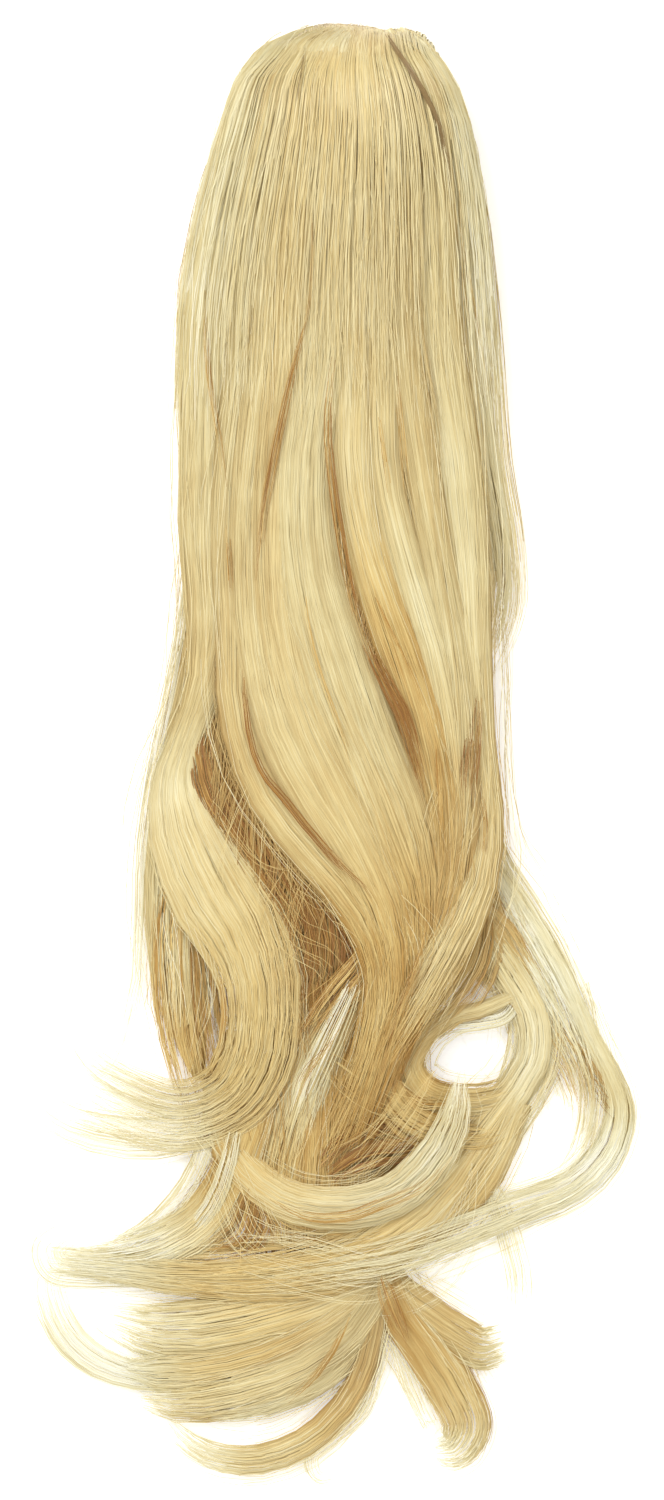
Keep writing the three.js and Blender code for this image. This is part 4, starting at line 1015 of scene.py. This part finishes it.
# The lanes of hair over the fold. Each starts under the clip, at a share of its place across, a step along
# and a height in metres, and then follows the heap, with the outer lanes at FOLD_REACH of its half width.
FOLD_LANES = 50
FOLD_START = [(0.9, 3, 0.0008), (0.98, 0.3, 0.0012), (0.99, 0, 0.005), (1, 0.1, 0.0095)]
FOLD_STATIONS = (2.4, 4, 6.5, 10, 15, 21, 28)
FOLD_REACH = 0.94
FOLD_EVEN = 0.4
FOLD_EASE = 4
FOLD_LIFT, FOLD_SINK, FOLD_LOWEST = 1.01, 0.001, 0.003
# A lane's half width and half thickness under the clip, over the fold and at its end, in metres.
FOLD_TURN = (0, 0.2, 1)
FOLD_WIDTHS = (0.0022, 0.0026, 0.009)
FOLD_PINCH = 0.006
FOLD_DEPTHS = (0.001, 0.0014, 0.001)
# The hair at the foot of the crown: its stations along it, its heights in metres and its share of the width.
RIM_STATIONS = (0.9, 1.4, 2.2, 3.5, 5, 8, 12, 17, 22, 27)
RIM_RISES = (0.001, 0.004, 0.007, 0.01)
RIM_REACH = 0.95
RIM_BREADTH, RIM_DEPTH = 0.0016, 0.003
# How pale and how golden the crown is from its left to its right, and the painted light that its tone gains
# along a lane, where the crown slopes away from the light.
FOLD_SHARES = (-1, -0.75, -0.5, -0.2, 0, 0.2, 0.4, 0.55, 0.75, 1)
FOLD_TONES = (FOLD_SHARES, (0.74, 0.74, 0.6, 0.56, 0.6, 0.54, 0.5, 0.58, 0.68, 0.74))
FOLD_GOLDS = (FOLD_SHARES, (0.3, 0.1, 0.3, 0.6, 0.6, 0.5, 0.3, 0.3, 0.2, 0.3))
FOLD_PAINTED_LIGHT = ((0.3, 1), (-0.04, 0.18))
# The groups whose locks end under others, whose painted shade does not fade at the tips, and how much darker
# the edges of the other groups' locks are painted as shade.
HIDDEN_ENDS = ("over_left", "over_middle", "over_right")
EDGE_SHADES = {"over_curls": 0.14, "under_falls": 0.16, "under_fan": 0.08}
# The loose strands round a lock, as a share of its own.
HALO_SHARES = {"over_left": 0.03, "over_middle": 0.02, "over_right": 0.03, "over_curls": 0.09,
               "under_falls": 0.06, "under_fan": 0.1}
HALO_BREADTH, HALO_MARGIN, HALO_RISE = 1.35, 0.003, 1.3
# What the strands of each kind do in another way than GUIDE_HABITS says.
HALO_HABITS = dict(tone=0.7, gold=0.4, airy=1.5, slender=0.6, tails=2.0, gathers=0.1, loose=3.0, deep=0.4,
                   shag=0.5, edge=-0.1, late=0.4, early=1.0)
FOLD_HABITS = dict(strands=44, tails=3.0, gathers=0.0, airy=0.6, edge=0.0, late=0.03, deep=0.1, loose=1.5,
                   power=4.0)
RIM_HABITS = dict(strands=50, tone=0.7, gold=0.3, tails=2.0, gathers=0.0, airy=0.6, edge=0.0, late=0.05,
                  deep=0.0, loose=1.5)
FILL_HABITS = dict(edge=0.0, loose=2.2, late=0.35, gathers=0.3, streaky=0.9)
LINE_HABITS = dict(edge=0.0, slender=0.55, deep=0.0, airy=0.0, gathers=0.0, late=0.45, loose=1.2,
                   streaky=0.8, shag=0.3)
WISP_HABITS = dict(airy=2.5, slender=0.65, tails=2.0, loose=1.3, deep=0.3, gathers=0.8, late=0.12)
CROSSING_HABITS = dict(airy=2.0, slender=0.5, gathers=0.0, loose=4.0, deep=0.0, edge=0.0, late=0.5)
# How far above their routes the dark lines, the wisps and the crossing strands lie, in metres.
LINE_LIFT, WISP_LIFT, CROSSING_LIFT = 0.0018, 0.001, 0.0012
# The gold of the fills and the lines that start near the clip and lower down, at GOLD_STATIONS along the hair.
GOLD_STATIONS = (6, 20)
FILL_GOLDS, LINE_GOLDS = (0.95, 0.95), (0.0, 1.0)
SHADE_THICKNESS = 0.35

pieces = {}
core_tone = np.interp(np.abs(np.linspace(-1, 1, CORE_SIDES)), *CORE_TONES)
body_blocks = {weft: [(core_rows(CORES[weft]), core_tone, CORE_GOLD)] for weft in ("over", "under")}
for group, locks in LOCKS.items():
    for number, lock in enumerate(locks):
        rings = lock_rings(lock, **BODY_RINGS)
        first, last = lock.get("solid", (0, 0.86))
        kept = (rings["share"] >= first) & (rings["share"] <= last)
        tone, gold = (along_lock(lock[key], rings["share"])[kept][:, None] for key in ("tone", "gold"))
        rows = body_rows(rings, (first, last), BODY_RIDGES, number)[kept]
        body_blocks[group.split("_")[0]].append((rows, tone - BODY_SHADE, gold))
    ends = dict(shade_fade=0.0, shag=0.14) if group in HIDDEN_ENDS else dict(edge=EDGE_SHADES[group])
    guides = [lock_guide({**ends, **lock}) for lock in locks]
    guides += [halo_guide(lock, HALO_SHARES[group]) for lock in locks]
    pieces[group] = grow_strands(group + "_strands", guides, strands_tree, Seed=guide_count,
                                 Shortest=SHORTEST.get(group, 0.7))
for weft, blocks in body_blocks.items():
    pieces[weft] = skin(weft + "_locks", blocks, body_hair)
guides = []
for sheet in SHEETS:
    habits = {key: value for key, value in sheet.items() if key not in ("rows", "span")}
    guides.append(dressed(sheet_guide(sheet), habits))
lanes = np.linspace(-1, 1, FOLD_LANES)
edge_lanes = np.linspace(-1, 1, len(FOLD_SPOTS))
edge_across, edge_along = (np.interp(lanes, edge_lanes, column) for column in np.transpose(FOLD_SPOTS))
folds = [dressed(fold_guide(across, along, lane), FOLD_HABITS)
         for across, along, lane in zip(edge_across, edge_along, lanes)]
folds += [dressed(rim_guide(side, rise), RIM_HABITS) for side in (-1, 1) for rise in RIM_RISES]
pieces["over_fold"] = grow_strands("over_fold_strands", folds, strands_tree, Seed=903, Shortest=0.25)
pieces["over_crown"] = grow_strands("over_deep_strands", guides[:1], strands_tree, Seed=901, Gather=0.2)
pieces["under_crown"] = grow_strands("under_deep_strands", guides[1:], strands_tree, Seed=902, Gather=0.2)


def shade_guides(rows, rise, golds, habits):
    """Guides for darker hair that paints shade. golds are for rows near the clip and for rows lower down."""
    guides = []
    for values in rows:
        row = dict(zip(SHADE_COLUMNS, values))
        row.update(thick=SHADE_THICKNESS, level=(row["level"], row["level"]))
        rings = lock_rings(row, **LOOSE_RINGS)
        rings["middle"][:, 2] += rise
        gold = float(np.interp(row["route"][0][1], GOLD_STATIONS, golds))
        guides.append(dressed(rings, dict(tone=row["tone"], gold=gold, strands=row["strands"], **habits)))
    return guides


def loose_guides(rows, weft, rise, spacing, habits):
    """Guides for the loose hair of one weft, lifted a little off what it crosses."""
    guides = []
    for values in rows:
        row = dict(zip(WISP_COLUMNS, values))
        if row["weft"] == weft:
            rings = lock_rings(row, **spacing)
            rings["middle"][:, 2] += rise
            own = {key: row[key] for key in ("tone", "gold", "strands")}
            guides.append(dressed(rings, {**own, **habits}))
    return guides


fill_guides = shade_guides(FILLS, 0.0, FILL_GOLDS, FILL_HABITS)
pieces["under_shade"] = grow_strands("deep_shade_strands", fill_guides, strands_tree, Seed=960, Frizz=0.0016,
                                     **{"Tone spread": 0.25, "Shortest": 0.5})
line_guides = shade_guides(LINES, LINE_LIFT, LINE_GOLDS, LINE_HABITS)
pieces["over_shade"] = grow_strands("edge_shade_strands", line_guides, strands_tree, Seed=970, Frizz=0.0006,
                                    **{"Tone spread": 0.28, "Shortest": 0.45})
for weft in ("over", "under"):
    guides = loose_guides(WISPS, weft, WISP_LIFT, LOOSE_RINGS, WISP_HABITS)
    guides += loose_guides(CROSSINGS, weft, CROSSING_LIFT, CROSSING_RINGS, CROSSING_HABITS)
    pieces[weft + "_wisps"] = grow_strands(weft + "_wisp_strands", guides, strands_tree, Seed=950,
                                           Frizz=0.0009)

for name, piece in pieces.items():
    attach(piece, "root")
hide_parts("over_weft")
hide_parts("under_weft")

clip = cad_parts["claw_clip"]
clip.data.materials.clear()
clip.data.materials.append(clip_material())

# The table and the studio.
FLOOR_SIZE = 6.0
WORLD_LIGHT = 0.76
floor_mesh = bpy.data.meshes.new("table_top")
half = FLOOR_SIZE / 2
corners = [(-half, -half, 0), (half, -half, 0), (half, half, 0), (-half, half, 0)]
floor_mesh.from_pydata(corners, [], [(0, 1, 2, 3)])
floor = new_object("table_top", floor_mesh)
floor_paint = bpy.data.materials.new("table_white")
floor_paint.use_nodes = True
paint = floor_paint.node_tree.nodes["Principled BSDF"].inputs
paint["Base Color"].default_value = (0.93, 0.93, 0.92, 1)
paint["Roughness"].default_value = 0.7
# The table top glows a little, as painted light that keeps the shadows on it faint.
paint["Emission Color"].default_value = (1, 1, 0.98, 1)
paint["Emission Strength"].default_value = 0.3
floor_mesh.materials.append(floor_paint)


def softbox(name, spot, size, power):
    light = bpy.data.lights.new(name, "AREA")
    light.shape, light.size, light.energy = "DISK", size, power
    lamp = bpy.data.objects.new(name, light)
    lamp.location = spot
    lamp.rotation_euler = (-Vector(spot)).to_track_quat("-Z", "Y").to_euler()
    bpy.context.scene.collection.objects.link(lamp)


softbox("key_light", (-0.9, 1.1, 1.9), 1.3, 32.0)
softbox("fill_light", (1.2, -0.9, 1.9), 1.6, 14.0)
world = bpy.data.worlds.new("studio")
world.use_nodes = True
world.node_tree.nodes["Background"].inputs["Color"].default_value = (1, 1, 1, 1)
world.node_tree.nodes["Background"].inputs["Strength"].default_value = WORLD_LIGHT
bpy.context.scene.world = world

# The camera looks straight down. The picture is PICTURE_HEIGHT pixels high, each PIXEL metres on the table.
PIXEL = 0.0003434
PICTURE_HEIGHT, PICTURE_MIDDLE = 1500, (332, 750)
FOLD_PIXEL = (342, 22)
CAMERA_HEIGHT = 5.0
FOCUS_HEIGHT = 0.02
view_x = MIDDLE_X + (PICTURE_MIDDLE[0] - FOLD_PIXEL[0]) * PIXEL
view_y = FOLD_Y - (PICTURE_MIDDLE[1] - FOLD_PIXEL[1]) * PIXEL
lens = bpy.data.cameras.new("camera")
lens.sensor_fit, lens.sensor_height = "VERTICAL", 24
lens.lens = lens.sensor_height * (CAMERA_HEIGHT - FOCUS_HEIGHT) / (PICTURE_HEIGHT * PIXEL)
lens.clip_end = 20
camera = bpy.data.objects.new("camera", lens)
camera.location = (view_x, view_y, CAMERA_HEIGHT)
bpy.context.scene.collection.objects.link(camera)
bpy.context.scene.camera = camera
bpy.context.scene.view_settings.view_transform = "Standard"
